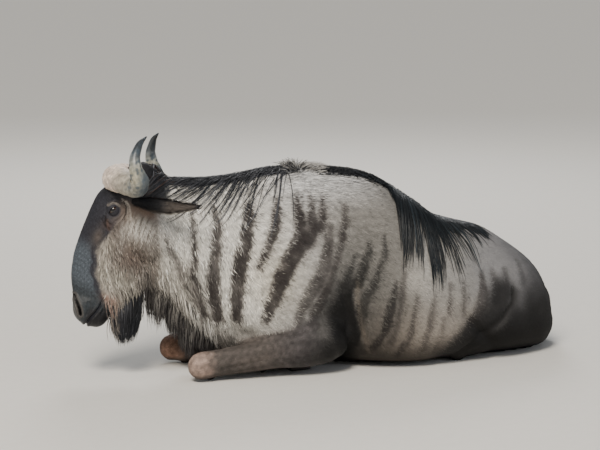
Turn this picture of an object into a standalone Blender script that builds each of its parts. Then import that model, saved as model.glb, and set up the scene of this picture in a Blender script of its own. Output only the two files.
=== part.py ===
"""A blue wildebeest bull lying on its chest with the forelegs folded under and the hindquarters rolled
onto the left hip, at life size. It faces -X, its left side is -Y, and it rests on z = 0."""

import math

import bmesh
import bpy
import numpy as np

# Sizes in metres and angles in degrees. A length along the animal is a distance along X, with the
# muzzle near -0.88 and the rump near +0.90. GAP is the space between neighbouring pieces.
GAP = 0.0003
VOXEL = 0.0085
SMOOTH_ROUNDS = 7
FLESH_TRIANGLES = 1520
FLAT_ANGLE = 0.004
GROUND_SNAP = 0.008

# Outlines of the trunk and neck, as (x, value) knots joined by a smooth monotone curve.
BACK_LINE = (
    (-0.66, 0.648), (-0.60, 0.672), (-0.52, 0.668), (-0.44, 0.664), (-0.36, 0.667), (-0.28, 0.675),
    (-0.18, 0.686), (-0.08, 0.689), (0.03, 0.676), (0.10, 0.664), (0.17, 0.644), (0.236, 0.608),
    (0.294, 0.573), (0.346, 0.538), (0.40, 0.498), (0.453, 0.482), (0.52, 0.467), (0.60, 0.445),
    (0.66, 0.408), (0.73, 0.358), (0.78, 0.308), (0.812, 0.252), (0.838, 0.195), (0.858, 0.145),
    (0.866, 0.110),
)
CHEST_LINE = (
    (-0.66, 0.40), (-0.62, 0.315), (-0.56, 0.250), (-0.50, 0.185), (-0.44, 0.120), (-0.38, 0.060),
    (-0.32, 0.012), (-0.26, 0.0), (0.78, 0.0), (0.83, 0.008), (0.858, 0.040), (0.866, 0.075),
)
HALF_WIDTH = (
    (-0.66, 0.080), (-0.60, 0.100), (-0.52, 0.116), (-0.44, 0.142), (-0.36, 0.172), (-0.28, 0.192),
    (-0.18, 0.204), (-0.06, 0.212), (0.06, 0.230), (0.18, 0.256), (0.30, 0.270), (0.42, 0.266),
    (0.54, 0.250), (0.66, 0.224), (0.76, 0.176), (0.82, 0.120), (0.85, 0.075), (0.866, 0.035),
)
WIDEST_HEIGHT = (
    (-0.66, 0.50), (-0.56, 0.42), (-0.44, 0.34), (-0.30, 0.27), (-0.10, 0.25), (0.10, 0.235),
    (0.30, 0.205), (0.50, 0.185), (0.70, 0.165), (0.82, 0.13), (0.866, 0.092),
)
RIDGE_ROUNDNESS = (
    (-0.66, 2.0), (-0.50, 1.85), (-0.30, 1.75), (-0.10, 1.75), (0.10, 1.85), (0.30, 2.0), (0.9, 2.05),
)
BELLY_ROUNDNESS = (
    (-0.66, 2.0), (-0.40, 1.9), (-0.25, 1.7), (0.0, 2.0), (0.12, 2.8), (0.30, 3.5), (0.55, 3.2), (0.9, 2.4),
)
MID_LINE = ((-0.66, 0.030), (-0.56, 0.014), (-0.44, 0.0), (0.40, 0.0), (0.70, -0.020), (0.90, -0.030))
PELVIS_ROLL = ((-0.66, 0.0), (0.20, 0.0), (0.50, 5.0), (0.75, 13.0), (0.90, 15.0))

# The head: a long face that hangs steeply down, turned a little to the animal's right.
CROWN = (-0.6475, 0.030, 0.681)
HEAD_DROP = 66.0
HEAD_TURN = 23.0
HEAD_TILT = 4.5
FACE_LENGTH = 0.536
# Knots along the face, from the crown to the lips: forehead and nose, jaw, half width, its height.
NOSE_LINE = (
    (-0.05, 0.000), (-0.03, 0.020), (0.0, 0.036), (0.047, 0.064), (0.085, 0.092), (0.115, 0.103),
    (0.18, 0.107), (0.241, 0.108), (0.315, 0.105), (0.36, 0.096), (0.397, 0.085), (0.43, 0.069),
    (0.458, 0.053), (0.49, 0.042), (0.514, 0.030), (0.528, 0.012), (0.536, -0.010),
)
JAW_LINE = (
    (-0.05, -0.06), (0.0, -0.12), (0.05, -0.15), (0.12, -0.168), (0.20, -0.176), (0.28, -0.176),
    (0.34, -0.165), (0.38, -0.140), (0.405, -0.124), (0.44, -0.106), (0.47, -0.094), (0.50, -0.088),
    (0.52, -0.078), (0.532, -0.060), (0.536, -0.040),
)
FACE_HALF_WIDTH = (
    (-0.05, 0.050), (0.0, 0.078), (0.05, 0.088), (0.10, 0.092), (0.15, 0.094), (0.20, 0.086),
    (0.26, 0.074), (0.32, 0.064), (0.38, 0.057), (0.43, 0.055), (0.47, 0.059), (0.50, 0.060),
    (0.52, 0.053), (0.532, 0.034), (0.536, 0.018),
)
FACE_WIDEST = (
    (-0.05, -0.02), (0.0, -0.01), (0.05, 0.0), (0.10, 0.025), (0.15, 0.038), (0.20, 0.020),
    (0.26, -0.010), (0.32, -0.020), (0.38, -0.010), (0.45, -0.005), (0.50, -0.015), (0.536, -0.022),
)
FACE_TOP_ROUNDNESS = ((-0.05, 2.0), (0.10, 2.3), (0.20, 2.3), (0.30, 2.1), (0.45, 2.2), (0.536, 2.0))
FACE_JAW_ROUNDNESS = (
    (-0.05, 2.0), (0.10, 1.8), (0.20, 1.7), (0.30, 1.6), (0.40, 1.8), (0.48, 2.2), (0.536, 2.2),
)

EYE_PLACE = (0.134, 0.0775, 0.024)
EYE_RADIUS = 0.0195

# Horns: stations of the left one as (down the face, outward, forward, radius), from the crown.
HORN_STATIONS = (
    (0.048, 0.006, 0.060, 0.037), (0.048, 0.045, 0.056, 0.044), (0.050, 0.105, 0.036, 0.042),
    (0.046, 0.165, 0.008, 0.039), (0.034, 0.218, -0.016, 0.0365), (0.008, 0.254, -0.020, 0.031),
    (-0.032, 0.268, -0.002, 0.022), (-0.072, 0.256, 0.010, 0.0168), (-0.108, 0.234, 0.012, 0.0118),
    (-0.140, 0.204, 0.004, 0.0030),
)

HORN_SIDES = 12

# Ears: stations of the left one as (down the face, outward, forward, half width, half thickness).
EAR_STATIONS = (
    (0.082, 0.074, -0.020, 0.017, 0.014), (0.076, 0.090, -0.048, 0.019, 0.012),
    (0.066, 0.108, -0.088, 0.031, 0.009), (0.056, 0.124, -0.128, 0.034, 0.008),
    (0.045, 0.140, -0.170, 0.027, 0.007), (0.034, 0.152, -0.206, 0.014, 0.005),
    (0.026, 0.160, -0.236, 0.003, 0.002),
)
# The right ear, on the side that the head is turned to, swings farther out, clear of the neck.
RIGHT_EAR_SWING = 42.0

# Legs: stations as (x, y, z, radius). Those of the forelegs are for the right side and mirrored.
FOREARM = (
    (-0.492, 0.156, 0.054, 0.050), (-0.44, 0.158, 0.060, 0.047), (-0.34, 0.166, 0.070, 0.051),
    (-0.24, 0.176, 0.084, 0.058), (-0.14, 0.188, 0.098, 0.073), (-0.055, 0.192, 0.112, 0.082),
)
FORE_CANNON = ((-0.462, 0.138, 0.038, 0.037), (-0.40, 0.122, 0.031, 0.027), (-0.27, 0.104, 0.030, 0.026))
FORE_PASTERN = ((-0.262, 0.102, 0.033, 0.032), (-0.215, 0.098, 0.029, 0.025), (-0.168, 0.094, 0.030, 0.027))
UPPER_ARM = ((-0.33, 0.125, 0.235, 0.085), (-0.22, 0.140, 0.190, 0.085), (-0.12, 0.165, 0.150, 0.075))
NEAR_THIGH = (
    (0.755, -0.060, 0.155, 0.108), (0.69, -0.095, 0.165, 0.138), (0.60, -0.135, 0.140, 0.126),
    (0.50, -0.160, 0.088, 0.088), (0.445, -0.168, 0.060, 0.062),
)
NEAR_CANNON = ((0.56, 0.060, 0.045, 0.034), (0.47, 0.150, 0.034, 0.028), (0.40, 0.222, 0.031, 0.028))
NEAR_PASTERN = ((0.395, 0.228, 0.034, 0.033), (0.355, 0.252, 0.030, 0.026), (0.315, 0.272, 0.031, 0.028))
FAR_THIGH = (
    (0.735, 0.060, 0.175, 0.098), (0.67, 0.110, 0.200, 0.132), (0.57, 0.185, 0.225, 0.125),
    (0.47, 0.245, 0.222, 0.095), (0.43, 0.262, 0.218, 0.080),
)
FAR_SHANK = (
    (0.445, 0.270, 0.205, 0.082), (0.54, 0.300, 0.140, 0.060), (0.64, 0.326, 0.084, 0.040),
    (0.69, 0.336, 0.060, 0.036),
)
FAR_CANNON = ((0.690, 0.338, 0.052, 0.040), (0.60, 0.356, 0.042, 0.029), (0.46, 0.384, 0.034, 0.029))
FAR_PASTERN = ((0.455, 0.386, 0.036, 0.034), (0.41, 0.396, 0.031, 0.026), (0.37, 0.404, 0.031, 0.028))
HOOF_LENGTH = 0.078
HOOF_WIDTH = 0.030
HOOF_HEIGHT = 0.046
HOOF_SPACING = 0.0324
# Sections of a hoof from heel to toe, as shares of its length, width and height, and the outline of one.
HOOF_SECTIONS = ((0.0, 0.85, 0.92), (0.3, 1.0, 1.0), (0.65, 0.82, 0.72), (0.92, 0.5, 0.36), (1.0, 0.2, 0.2))
HOOF_OUTLINE = ((-1, 0.0), (-1, 0.5), (-0.62, 0.92), (0, 1.0), (0.62, 0.92), (1, 0.5), (1, 0.0))

# Tail: stations as (x, y, z, radius); the dock is skin, the tuft is long hair lying on the ground.
DOCK = (
    (0.768, -0.030, 0.250, 0.032), (0.806, -0.032, 0.206, 0.027), (0.832, -0.034, 0.170, 0.022),
    (0.850, -0.034, 0.140, 0.018), (0.860, -0.032, 0.105, 0.016),
)
TAIL_TUFT = (
    (0.858, -0.034, 0.130, 0.014), (0.868, -0.026, 0.085, 0.026), (0.866, 0.005, 0.042, 0.032),
    (0.852, 0.070, 0.026, 0.034), (0.822, 0.150, 0.020, 0.030), (0.778, 0.225, 0.014, 0.020),
    (0.735, 0.290, 0.008, 0.006),
)

# Long hair. The mane and the crest of the back lie over the ridge: their ends along X, and their edges
# as (x, degrees round the trunk), where 90 is the ridge and 180 the left side.
MANE_ENDS = (-0.60, -0.09)
MANE_THICKNESS = ((-0.60, 0.014), (-0.50, 0.018), (-0.30, 0.020), (-0.10, 0.020))
MANE_FAR_EDGE = ((-0.60, 62.0), (-0.30, 60.0), (-0.09, 66.0))
MANE_NEAR_EDGE = ((-0.60, 122.0), (-0.50, 134.0), (-0.35, 148.0), (-0.25, 138.0), (-0.09, 112.0))
CREST_ENDS = (-0.07, 0.46)
CREST_THICKNESS = ((-0.07, 0.014), (0.02, 0.018), (0.20, 0.022), (0.34, 0.020), (0.46, 0.010))
CREST_FAR_EDGE = ((-0.07, 76.0), (0.20, 70.0), (0.46, 72.0))
CREST_NEAR_EDGE = (
    (-0.07, 100.0), (0.10, 102.0), (0.18, 112.0), (0.25, 142.0), (0.34, 158.0), (0.46, 138.0),
)
STRIP_LINES = 7
STRIP_STEP = 0.055
STRIP_EDGE = 0.004
STRIP_ROOT = 0.010
# The beard as (x, y, z, half length, half thickness), and the throat fringe as (x, z) of its roots and
# of its tips, with its section as (share of the way down, half thickness).
BEARD = (
    (-0.700, -0.014, 0.300, 0.034, 0.020), (-0.704, -0.016, 0.250, 0.040, 0.024),
    (-0.709, -0.018, 0.200, 0.037, 0.022), (-0.716, -0.020, 0.150, 0.028, 0.016),
    (-0.726, -0.020, 0.112, 0.008, 0.005),
)
FRINGE_ROOTS = (
    (-0.655, 0.345), (-0.600, 0.300), (-0.540, 0.240), (-0.480, 0.175), (-0.420, 0.110), (-0.365, 0.060),
)
FRINGE_TIPS = (
    (-0.638, 0.195), (-0.600, 0.150), (-0.550, 0.112), (-0.492, 0.052), (-0.430, 0.030), (-0.372, 0.012),
)
FRINGE_SECTION = ((0.0, 0.018), (0.45, 0.020), (0.8, 0.011), (1.0, 0.002))

# Where the flesh is parted: outlines in the XZ plane for head and neck, stations for the haunches.
HEAD_CELL = ((-1.0, 0.12), (-1.0, 0.95), (-0.606, 0.95), (-0.606, 0.12))
NECK_CELL = ((-0.65, 0.122), (-0.65, 0.80), (-0.24, 0.80), (-0.430, 0.122))
LEFT_HAUNCH_CELL = (
    (0.80, -0.155, 0.14, 0.150), (0.70, -0.185, 0.15, 0.170), (0.60, -0.205, 0.13, 0.145),
    (0.50, -0.225, 0.07, 0.115), (0.44, -0.235, 0.04, 0.085),
)
RIGHT_HAUNCH_CELL = (
    (0.80, 0.13, 0.15, 0.150), (0.70, 0.17, 0.18, 0.172), (0.58, 0.24, 0.21, 0.155),
    (0.47, 0.29, 0.21, 0.125),
)

# Muscles and hollows pushed into the union of the lofts: centre, reach along x, y and z, tilt of the
# x axis towards z in degrees, and height. Those with side 0 are made on both sides.
RELIEFS = (
    (0, (-0.205, 0.165, 0.430), (0.085, 0.12, 0.19), -22.0, 0.012),
    (0, (-0.390, 0.150, 0.360), (0.050, 0.12, 0.17), -22.0, -0.008),
    (0, (-0.175, 0.205, 0.190), (0.130, 0.10, 0.09), -35.0, 0.012),
    (0, (0.010, 0.215, 0.170), (0.045, 0.12, 0.17), -12.0, -0.016),
    (0, (0.130, 0.240, 0.130), (0.110, 0.12, 0.12), 0.0, 0.010),
    (0, (0.230, 0.240, 0.045), (0.170, 0.10, 0.070), 0.0, 0.016),
    (-1, (0.690, 0.215, 0.305), (0.050, 0.08, 0.045), 0.0, 0.012),
    (1, (0.650, 0.200, 0.330), (0.060, 0.08, 0.050), 0.0, 0.010),
    (0, (0.540, 0.220, 0.330), (0.070, 0.10, 0.060), 0.0, -0.012),
    (-1, (0.500, 0.235, 0.105), (0.018, 0.09, 0.110), 48.0, -0.016),
    (-1, (0.585, 0.235, 0.120), (0.060, 0.09, 0.070), 48.0, 0.008),
)

# Colour and roughness of each part, by how its name starts.
SHARP_ANGLE = 40.0
FINISHES = {
    "head": ("#3A3B40", 0.65), "neck": ("#9A948A", 0.75), "trunk": ("#8C857B", 0.75),
    "thigh": ("#4A4745", 0.70), "shank": ("#5A4C45", 0.70), "forearm": ("#6B5A50", 0.70),
    "fore_": ("#5A4C45", 0.70), "hind_": ("#5A4C45", 0.70), "horn": ("#8A8A84", 0.45),
    "ear": ("#3F3C3E", 0.70), "eye": ("#1A1410", 0.08), "mane": ("#1D1C20", 0.55),
    "back_crest": ("#1D1C20", 0.55), "beard": ("#1D1C20", 0.55), "throat_fringe": ("#3B373A", 0.60),
    "tail_dock": ("#4A4745", 0.70), "tail_tuft": ("#1D1C20", 0.55), "hoof": ("#2E2A28", 0.45),
}


def smooth_curve(knots):
    """A monotone cubic through (x, value) knots, held level beyond its ends."""
    xs = np.array([knot[0] for knot in knots], float)
    ys = np.array([knot[1] for knot in knots], float)
    steps = np.diff(xs)
    rises = np.diff(ys) / steps
    slopes = np.zeros(len(xs))
    slopes[0] = rises[0]
    slopes[-1] = rises[-1]
    for i in range(1, len(xs) - 1):
        if rises[i - 1] * rises[i] > 0:
            before = 2 * steps[i] + steps[i - 1]
            after = steps[i] + 2 * steps[i - 1]
            slopes[i] = (before + after) / (before / rises[i - 1] + after / rises[i])

    def value(x):
        x = np.clip(np.asarray(x, float), xs[0], xs[-1])
        i = np.clip(np.searchsorted(xs, x) - 1, 0, len(xs) - 2)
        t = (x - xs[i]) / steps[i]
        left = ys[i] * (1 + 2 * t) * (1 - t) ** 2 + slopes[i] * steps[i] * t * (1 - t) ** 2
        right = ys[i + 1] * t * t * (3 - 2 * t) + slopes[i + 1] * steps[i] * t * t * (t - 1)
        return left + right

    return value


def unit(vector):
    vector = np.asarray(vector, float)
    return vector / np.linalg.norm(vector)


def oval(angles, half, above, below, roundness_above, roundness_below):
    """Points (across, up) of a section whose upper and lower halves bulge differently."""
    across = np.cos(angles)
    upward = np.sin(angles)
    power = 2 / np.where(upward >= 0, roundness_above, roundness_below)
    x = np.sign(across) * np.abs(across) ** power * half
    y = np.sign(upward) * np.abs(upward) ** power * np.where(upward >= 0, above, below)
    return x, y


def ring_angles(count):
    return np.linspace(0, 2 * math.pi, count, endpoint=False)


def mesh_object(name, points, faces):
    mesh = bpy.data.meshes.new(name)
    mesh.from_pydata([tuple(point) for point in points], [], faces)
    bm = bmesh.new()
    bm.from_mesh(mesh)
    bmesh.ops.recalc_face_normals(bm, faces=bm.faces)
    bm.to_mesh(mesh)
    bm.free()
    made = bpy.data.objects.new(name, mesh)
    bpy.context.scene.collection.objects.link(made)
    return made


def loft(name, rings):
    """A closed solid through rings of equal point counts, with a flat face at each end."""
    count = len(rings[0])
    faces = []
    for i in range(len(rings) - 1):
        for j in range(count):
            k = (j + 1) % count
            faces.append((i * count + j, i * count + k, (i + 1) * count + k, (i + 1) * count + j))
    faces.append(tuple(reversed(range(count))))
    last = (len(rings) - 1) * count
    faces.append(tuple(last + j for j in range(count)))
    return mesh_object(name, np.concatenate(rings), faces)


def along(stations, per_span):
    """Stations resampled smoothly, with per_span steps from each to the next."""
    table = np.array(stations, float)
    index = np.arange(len(table))
    steps = np.linspace(0, len(table) - 1, (len(table) - 1) * per_span + 1)
    columns = [smooth_curve(list(zip(index, table[:, i])))(steps) for i in range(table.shape[1])]
    return np.stack(columns, -1)


def limb(name, stations, per_span=4, count=20, slim=1.0, swell=0.0, lowest=None, blunt=False):
    """A round-ended loft along stations of (x, y, z, radius); slim narrows it across."""
    table = along(stations, per_span)
    middle = table[:, :3]
    radii = table[:, 3] + swell
    ways = np.gradient(middle, axis=0)
    angles = ring_angles(count)
    rings = []
    across = np.cross(ways[0], (0.0, 0.0, 1.0))
    for centre, way, radius in zip(middle, ways, radii):
        way = unit(way)
        across = unit(across - (across @ way) * way)
        upward = np.cross(across, way)
        ring = centre + np.outer(np.cos(angles) * radius * slim, across)
        rings.append(ring + np.outer(np.sin(angles) * radius, upward))
    caps = ((0.8, 0.55),) if blunt else ((0.95, 0.31), (0.8, 0.6), (0.5, 0.866))
    front = [
        middle[0] + (rings[0] - middle[0]) * narrow - unit(ways[0]) * radii[0] * out
        for out, narrow in caps
    ]
    back = [
        middle[-1] + (rings[-1] - middle[-1]) * narrow + unit(ways[-1]) * radii[-1] * out
        for out, narrow in reversed(caps)
    ]
    rings = front + rings + back
    if lowest is not None:
        for ring in rings:
            ring[:, 2] = np.maximum(ring[:, 2], lowest)
    return loft(name, rings)


def mirrored(stations, side):
    return tuple((x, y * side, *rest) for x, y, *rest in stations)


back_line = smooth_curve(BACK_LINE)
chest_line = smooth_curve(CHEST_LINE)
half_width = smooth_curve(HALF_WIDTH)
widest_height = smooth_curve(WIDEST_HEIGHT)
ridge_roundness = smooth_curve(RIDGE_ROUNDNESS)
belly_roundness = smooth_curve(BELLY_ROUNDNESS)
mid_line = smooth_curve(MID_LINE)
pelvis_roll = smooth_curve(PELVIS_ROLL)


def trunk_section(x, angles):
    """Points round the trunk at x. Angle 90 degrees is the ridge of the back and 180 the left side."""
    up = float(back_line(x) - widest_height(x))
    down = float(widest_height(x) - chest_line(x))
    across, height = oval(
        angles, float(half_width(x)), up, down, float(ridge_roundness(x)), float(belly_roundness(x))
    )
    lean = np.clip(height / up, 0, 1) * up * math.sin(math.radians(float(pelvis_roll(x)))) * 0.5
    y = float(mid_line(x)) + across - lean
    return np.stack([np.full(len(angles), x), y, float(widest_height(x)) + height], -1)


def trunk():
    stations = np.concatenate([np.arange(-0.66, 0.78, 0.02), np.arange(0.78, 0.86, 0.01), [0.862, 0.866]])
    return loft("trunk_form", [trunk_section(x, ring_angles(48)) for x in stations])


drop = math.radians(HEAD_DROP)
turn = math.radians(HEAD_TURN)
tilt = math.radians(HEAD_TILT)
FACE_WAY_LEVEL = np.array([-math.cos(drop), 0.0, -math.sin(drop)])
FACE_FRONT_STRAIGHT = np.array([-math.sin(drop), 0.0, math.cos(drop)])
FACE_LEFT_STRAIGHT = np.array([0.0, -1.0, 0.0])
FACE_LEFT_LEVEL = FACE_LEFT_STRAIGHT * math.cos(turn) + FACE_FRONT_STRAIGHT * math.sin(turn)
FACE_FRONT = FACE_FRONT_STRAIGHT * math.cos(turn) - FACE_LEFT_STRAIGHT * math.sin(turn)
FACE_LEFT = FACE_LEFT_LEVEL * math.cos(tilt) + FACE_WAY_LEVEL * math.sin(tilt)
FACE_WAY = FACE_WAY_LEVEL * math.cos(tilt) - FACE_LEFT_LEVEL * math.sin(tilt)


def on_head(down, out, forward):
    """A point given down the face from the crown, out to the animal's left, and forward of the brow."""
    return np.array(CROWN) + down * FACE_WAY + out * FACE_LEFT + forward * FACE_FRONT


nose_line = smooth_curve(NOSE_LINE)
jaw_line = smooth_curve(JAW_LINE)
face_half_width = smooth_curve(FACE_HALF_WIDTH)
face_widest = smooth_curve(FACE_WIDEST)
face_top_roundness = smooth_curve(FACE_TOP_ROUNDNESS)
face_jaw_roundness = smooth_curve(FACE_JAW_ROUNDNESS)


def head():
    rings = []
    for s in np.concatenate([np.arange(-0.05, 0.50, 0.015), np.linspace(0.50, FACE_LENGTH, 8)]):
        middle = float(face_widest(s))
        across, height = oval(
            ring_angles(40), float(face_half_width(s)), float(nose_line(s)) - middle,
            middle - float(jaw_line(s)), float(face_top_roundness(s)), float(face_jaw_roundness(s)),
        )
        rings.append(np.array([on_head(s, a, middle + h) for a, h in zip(across, height)]))
    return loft("head_form", rings)


def flesh_forms():
    """The overlapping lofts whose union is the flesh of the animal."""
    forms = [trunk(), head()]
    throat = (
        (*on_head(0.10, 0.0, -0.03), 0.092), (*on_head(0.17, 0.0, -0.10), 0.100),
        (-0.545, 0.010, 0.455, 0.105),
    )
    forms.append(limb("throat_form", throat))
    for side in (-1, 1):
        forms.append(limb("forearm_form", mirrored(FOREARM, side), slim=0.82))
        forms.append(limb("fore_cannon_form", mirrored(FORE_CANNON, side)))
        forms.append(limb("fore_pastern_form", mirrored(FORE_PASTERN, side)))
        forms.append(limb("upper_arm_form", mirrored(UPPER_ARM, side), slim=0.75))
    forms.append(limb("near_thigh_form", NEAR_THIGH, slim=0.9))
    forms.append(limb("near_cannon_form", NEAR_CANNON))
    forms.append(limb("near_pastern_form", NEAR_PASTERN))
    forms.append(limb("far_thigh_form", FAR_THIGH, slim=0.9))
    forms.append(limb("far_shank_form", FAR_SHANK))
    forms.append(limb("far_cannon_form", FAR_CANNON))
    forms.append(limb("far_pastern_form", FAR_PASTERN))
    forms.append(limb("dock_form", DOCK))
    return forms


def evaluated_copy(source, name):
    """The object's mesh with its modifiers applied, as a new object; the source is removed."""
    graph = bpy.context.evaluated_depsgraph_get()
    mesh = bpy.data.meshes.new_from_object(source.evaluated_get(graph))
    mesh.name = name
    made = bpy.data.objects.new(name, mesh)
    bpy.context.scene.collection.objects.link(made)
    bpy.data.objects.remove(source)
    return made


def coordinates(mesh):
    points = np.empty(len(mesh.vertices) * 3)
    mesh.vertices.foreach_get("co", points)
    return points.reshape(-1, 3)


def normals(mesh):
    found = np.empty(len(mesh.vertices) * 3)
    mesh.vertex_normals.foreach_get("vector", found)
    return found.reshape(-1, 3)


def joined_flesh():
    bm = bmesh.new()
    for form in flesh_forms():
        bm.from_mesh(form.data)
        bpy.data.objects.remove(form)
    mesh = bpy.data.meshes.new("flesh")
    bm.to_mesh(mesh)
    bm.free()
    flesh = bpy.data.objects.new("flesh", mesh)
    bpy.context.scene.collection.objects.link(flesh)
    remesh = flesh.modifiers.new("one_surface", "REMESH")
    remesh.mode = "VOXEL"
    remesh.voxel_size = VOXEL
    smooth = flesh.modifiers.new("blend", "SMOOTH")
    smooth.factor = 0.5
    smooth.iterations = SMOOTH_ROUNDS
    return evaluated_copy(flesh, "flesh")


def push_reliefs(mesh):
    """Moves the surface out over muscles and in at hollows, then flattens what is below the ground."""
    points = coordinates(mesh)
    outward = normals(mesh)
    moved = np.zeros(len(points))
    for only_side, centre, reach, tilt, height in RELIEFS:
        for side in (-1, 1):
            if only_side and side != only_side:
                continue
            offset = points - np.array([centre[0], centre[1] * side, centre[2]])
            lean = math.radians(tilt)
            level = offset[:, 0] * math.cos(lean) + offset[:, 2] * math.sin(lean)
            raised = -offset[:, 0] * math.sin(lean) + offset[:, 2] * math.cos(lean)
            far = (level / reach[0]) ** 2 + (offset[:, 1] / reach[1]) ** 2 + (raised / reach[2]) ** 2
            moved += height * np.exp(-far)
    points = points + outward * moved[:, None]
    points[:, 2] = np.maximum(points[:, 2], 0.0)
    mesh.vertices.foreach_set("co", points.ravel())
    mesh.update()


def prism(name, corners, half_depth, swell=0.0):
    """A block whose outline in the XZ plane is the given convex loop, grown outward by swell."""
    loop = np.array(corners, float)
    centre = loop.mean(0)
    grown = []
    for i in range(len(loop)):
        before = unit(loop[i] - loop[i - 1])
        after = unit(loop[(i + 1) % len(loop)] - loop[i])
        outs = [np.array([way[1], -way[0]]) for way in (before, after)]
        outs = [out if out @ (loop[i] - centre) > 0 else -out for out in outs]
        bisector = unit(outs[0] + outs[1])
        grown.append(loop[i] + bisector * swell / max(0.3, bisector @ outs[0]))
    rings = []
    for y in (-half_depth - swell, half_depth + swell):
        rings.append(np.array([(x, y, z) for x, z in grown]))
    return loft(name, rings)


def boolean(body, tool, operation, heal=False):
    """Applies one exact Boolean to body and returns the result under the same name."""
    name = body.name
    body.name = name + "_before"
    cut = body.modifiers.new("cut", "BOOLEAN")
    cut.operation = operation
    cut.solver = "EXACT"
    cut.use_self = heal
    cut.object = tool
    return evaluated_copy(body, name)


def triangulated(body):
    """Splits a loft's faces the same way on a part and on the room cut for it."""
    bm = bmesh.new()
    bm.from_mesh(body.data)
    bmesh.ops.triangulate(bm, faces=bm.faces, quad_method="FIXED")
    bm.to_mesh(body.data)
    bm.free()


def duplicate(source, name):
    made = bpy.data.objects.new(name, source.data.copy())
    bpy.context.scene.collection.objects.link(made)
    return made


def drop_crumbs(bm):
    """Deletes all but the largest connected piece."""
    left = set(bm.verts)
    islands = []
    while left:
        reached = {left.pop()}
        edge_of_reach = list(reached)
        while edge_of_reach:
            vertex = edge_of_reach.pop()
            for edge in vertex.link_edges:
                other = edge.other_vert(vertex)
                if other in left:
                    left.discard(other)
                    reached.add(other)
                    edge_of_reach.append(other)
        islands.append(reached)
    islands.sort(key=len)
    for island in islands[:-1]:
        bmesh.ops.delete(bm, geom=list(island), context="VERTS")


def is_closed(bm):
    return all(edge.is_manifold for edge in bm.edges)


def clean(body):
    """Drops the crumbs that a cut leaves beside the main body, closes hairline edges and merges level
    faces, as far as the body stays closed."""
    for hairline, flat in ((0.00001, FLAT_ANGLE), (0.00001, 0.0), (0.000001, 0.0)):
        bm = bmesh.new()
        bm.from_mesh(body.data)
        bmesh.ops.remove_doubles(bm, verts=bm.verts, dist=hairline)
        bmesh.ops.dissolve_degenerate(bm, edges=bm.edges, dist=hairline)
        drop_crumbs(bm)
        if flat:
            bmesh.ops.dissolve_limit(bm, angle_limit=flat, verts=bm.verts, edges=bm.edges)
        bmesh.ops.triangulate(bm, faces=bm.faces)
        good = is_closed(bm)
        if good:
            bm.to_mesh(body.data)
        bm.free()
        if good:
            return


def volume(body):
    """The volume of a closed body, or 0 for an open one."""
    bm = bmesh.new()
    bm.from_mesh(body.data)
    found = bm.calc_volume() if is_closed(bm) else 0.0
    bm.free()
    return found


def nudge(tool, tries):
    """Shifts a cutter by a few hundredths of a millimetre, clear of edges that it runs along."""
    shift = 0.00002 * (tries + 1)
    points = coordinates(tool.data) + np.array([shift, -0.7 * shift, 0.6 * shift])
    tool.data.vertices.foreach_set("co", points.ravel())
    tool.data.update()


def take(body, name, cell, wider_cell):
    """Splits what lies in the cell off body; wider_cell leaves the gap. Returns (rest, piece)."""
    whole = volume(body)
    for tries in range(9):
        piece = boolean(duplicate(body, name), cell, "INTERSECT", tries > 0)
        rest = boolean(duplicate(body, "rest"), wider_cell, "DIFFERENCE", tries > 0)
        lost = whole - volume(piece) - volume(rest)
        if volume(piece) > 0 and volume(rest) > 0 and 0 < lost < 0.06 * volume(piece):
            break
        bpy.data.objects.remove(piece)
        bpy.data.objects.remove(rest)
        nudge(cell, tries)
        nudge(wider_cell, tries)
    label = body.name
    for used in (body, cell, wider_cell):
        bpy.data.objects.remove(used)
    rest.name = label
    clean(piece)
    clean(rest)
    return rest, piece


def cut_room(body, tool):
    """Takes the tool's space out of body; the tool is removed."""
    before = volume(body)
    for tries in range(9):
        rest = boolean(duplicate(body, "rest"), tool, "DIFFERENCE", tries > 0)
        if before - 1.01 * volume(tool) < volume(rest) <= before * 1.000001 and volume(rest) > 0:
            break
        bpy.data.objects.remove(rest)
        nudge(tool, tries)
    label = body.name
    bpy.data.objects.remove(body)
    bpy.data.objects.remove(tool)
    rest.name = label
    clean(rest)
    return rest


def horn_rings(side, swell):
    rings = []
    table = np.array(HORN_STATIONS)
    ways = np.gradient(table[:, :3], axis=0)
    angles = ring_angles(HORN_SIDES)
    for (down, out, forward, radius), way in zip(table, ways):
        way = unit(way)
        across = unit(np.cross(way, (0.3, 0.0, 1.0)))
        upward = np.cross(across, way)
        ring = np.outer(np.cos(angles), across) + np.outer(np.sin(angles), upward)
        points = np.array([down, out, forward]) + ring * (radius + swell)
        rings.append(np.array([on_head(p[0], p[1] * side, p[2]) for p in points]))
    lengthen(rings, swell)
    return rings


def lengthen(rings, swell):
    """Moves the first and last ring of a loft outward by swell."""
    if swell:
        rings[0] = rings[0] + unit(rings[0].mean(0) - rings[1].mean(0)) * swell
        rings[-1] = rings[-1] + unit(rings[-1].mean(0) - rings[-2].mean(0)) * swell


def ear_rings(side, swell):
    """A flattened leaf that hangs outward and back, its broad face turned up and a little forward."""
    rings = []
    root_out, root_forward = EAR_STATIONS[0][1:3]
    swing = math.radians(RIGHT_EAR_SWING if side < 0 else 0.0)
    for down, out, forward, half, thick in EAR_STATIONS:
        points = []
        for angle in ring_angles(8):
            across = math.cos(angle) * (half + swell)
            lift = math.sin(angle) * (thick + swell)
            outward = out + lift + across * 0.25 - root_out
            onward = forward - across * 0.20 - root_forward
            swung_out = root_out + outward * math.cos(swing) - onward * math.sin(swing)
            swung_on = root_forward + onward * math.cos(swing) + outward * math.sin(swing)
            points.append(on_head(down + across * 0.93, swung_out * side, swung_on))
        rings.append(np.array(points))
    lengthen(rings, swell)
    return rings


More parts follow.
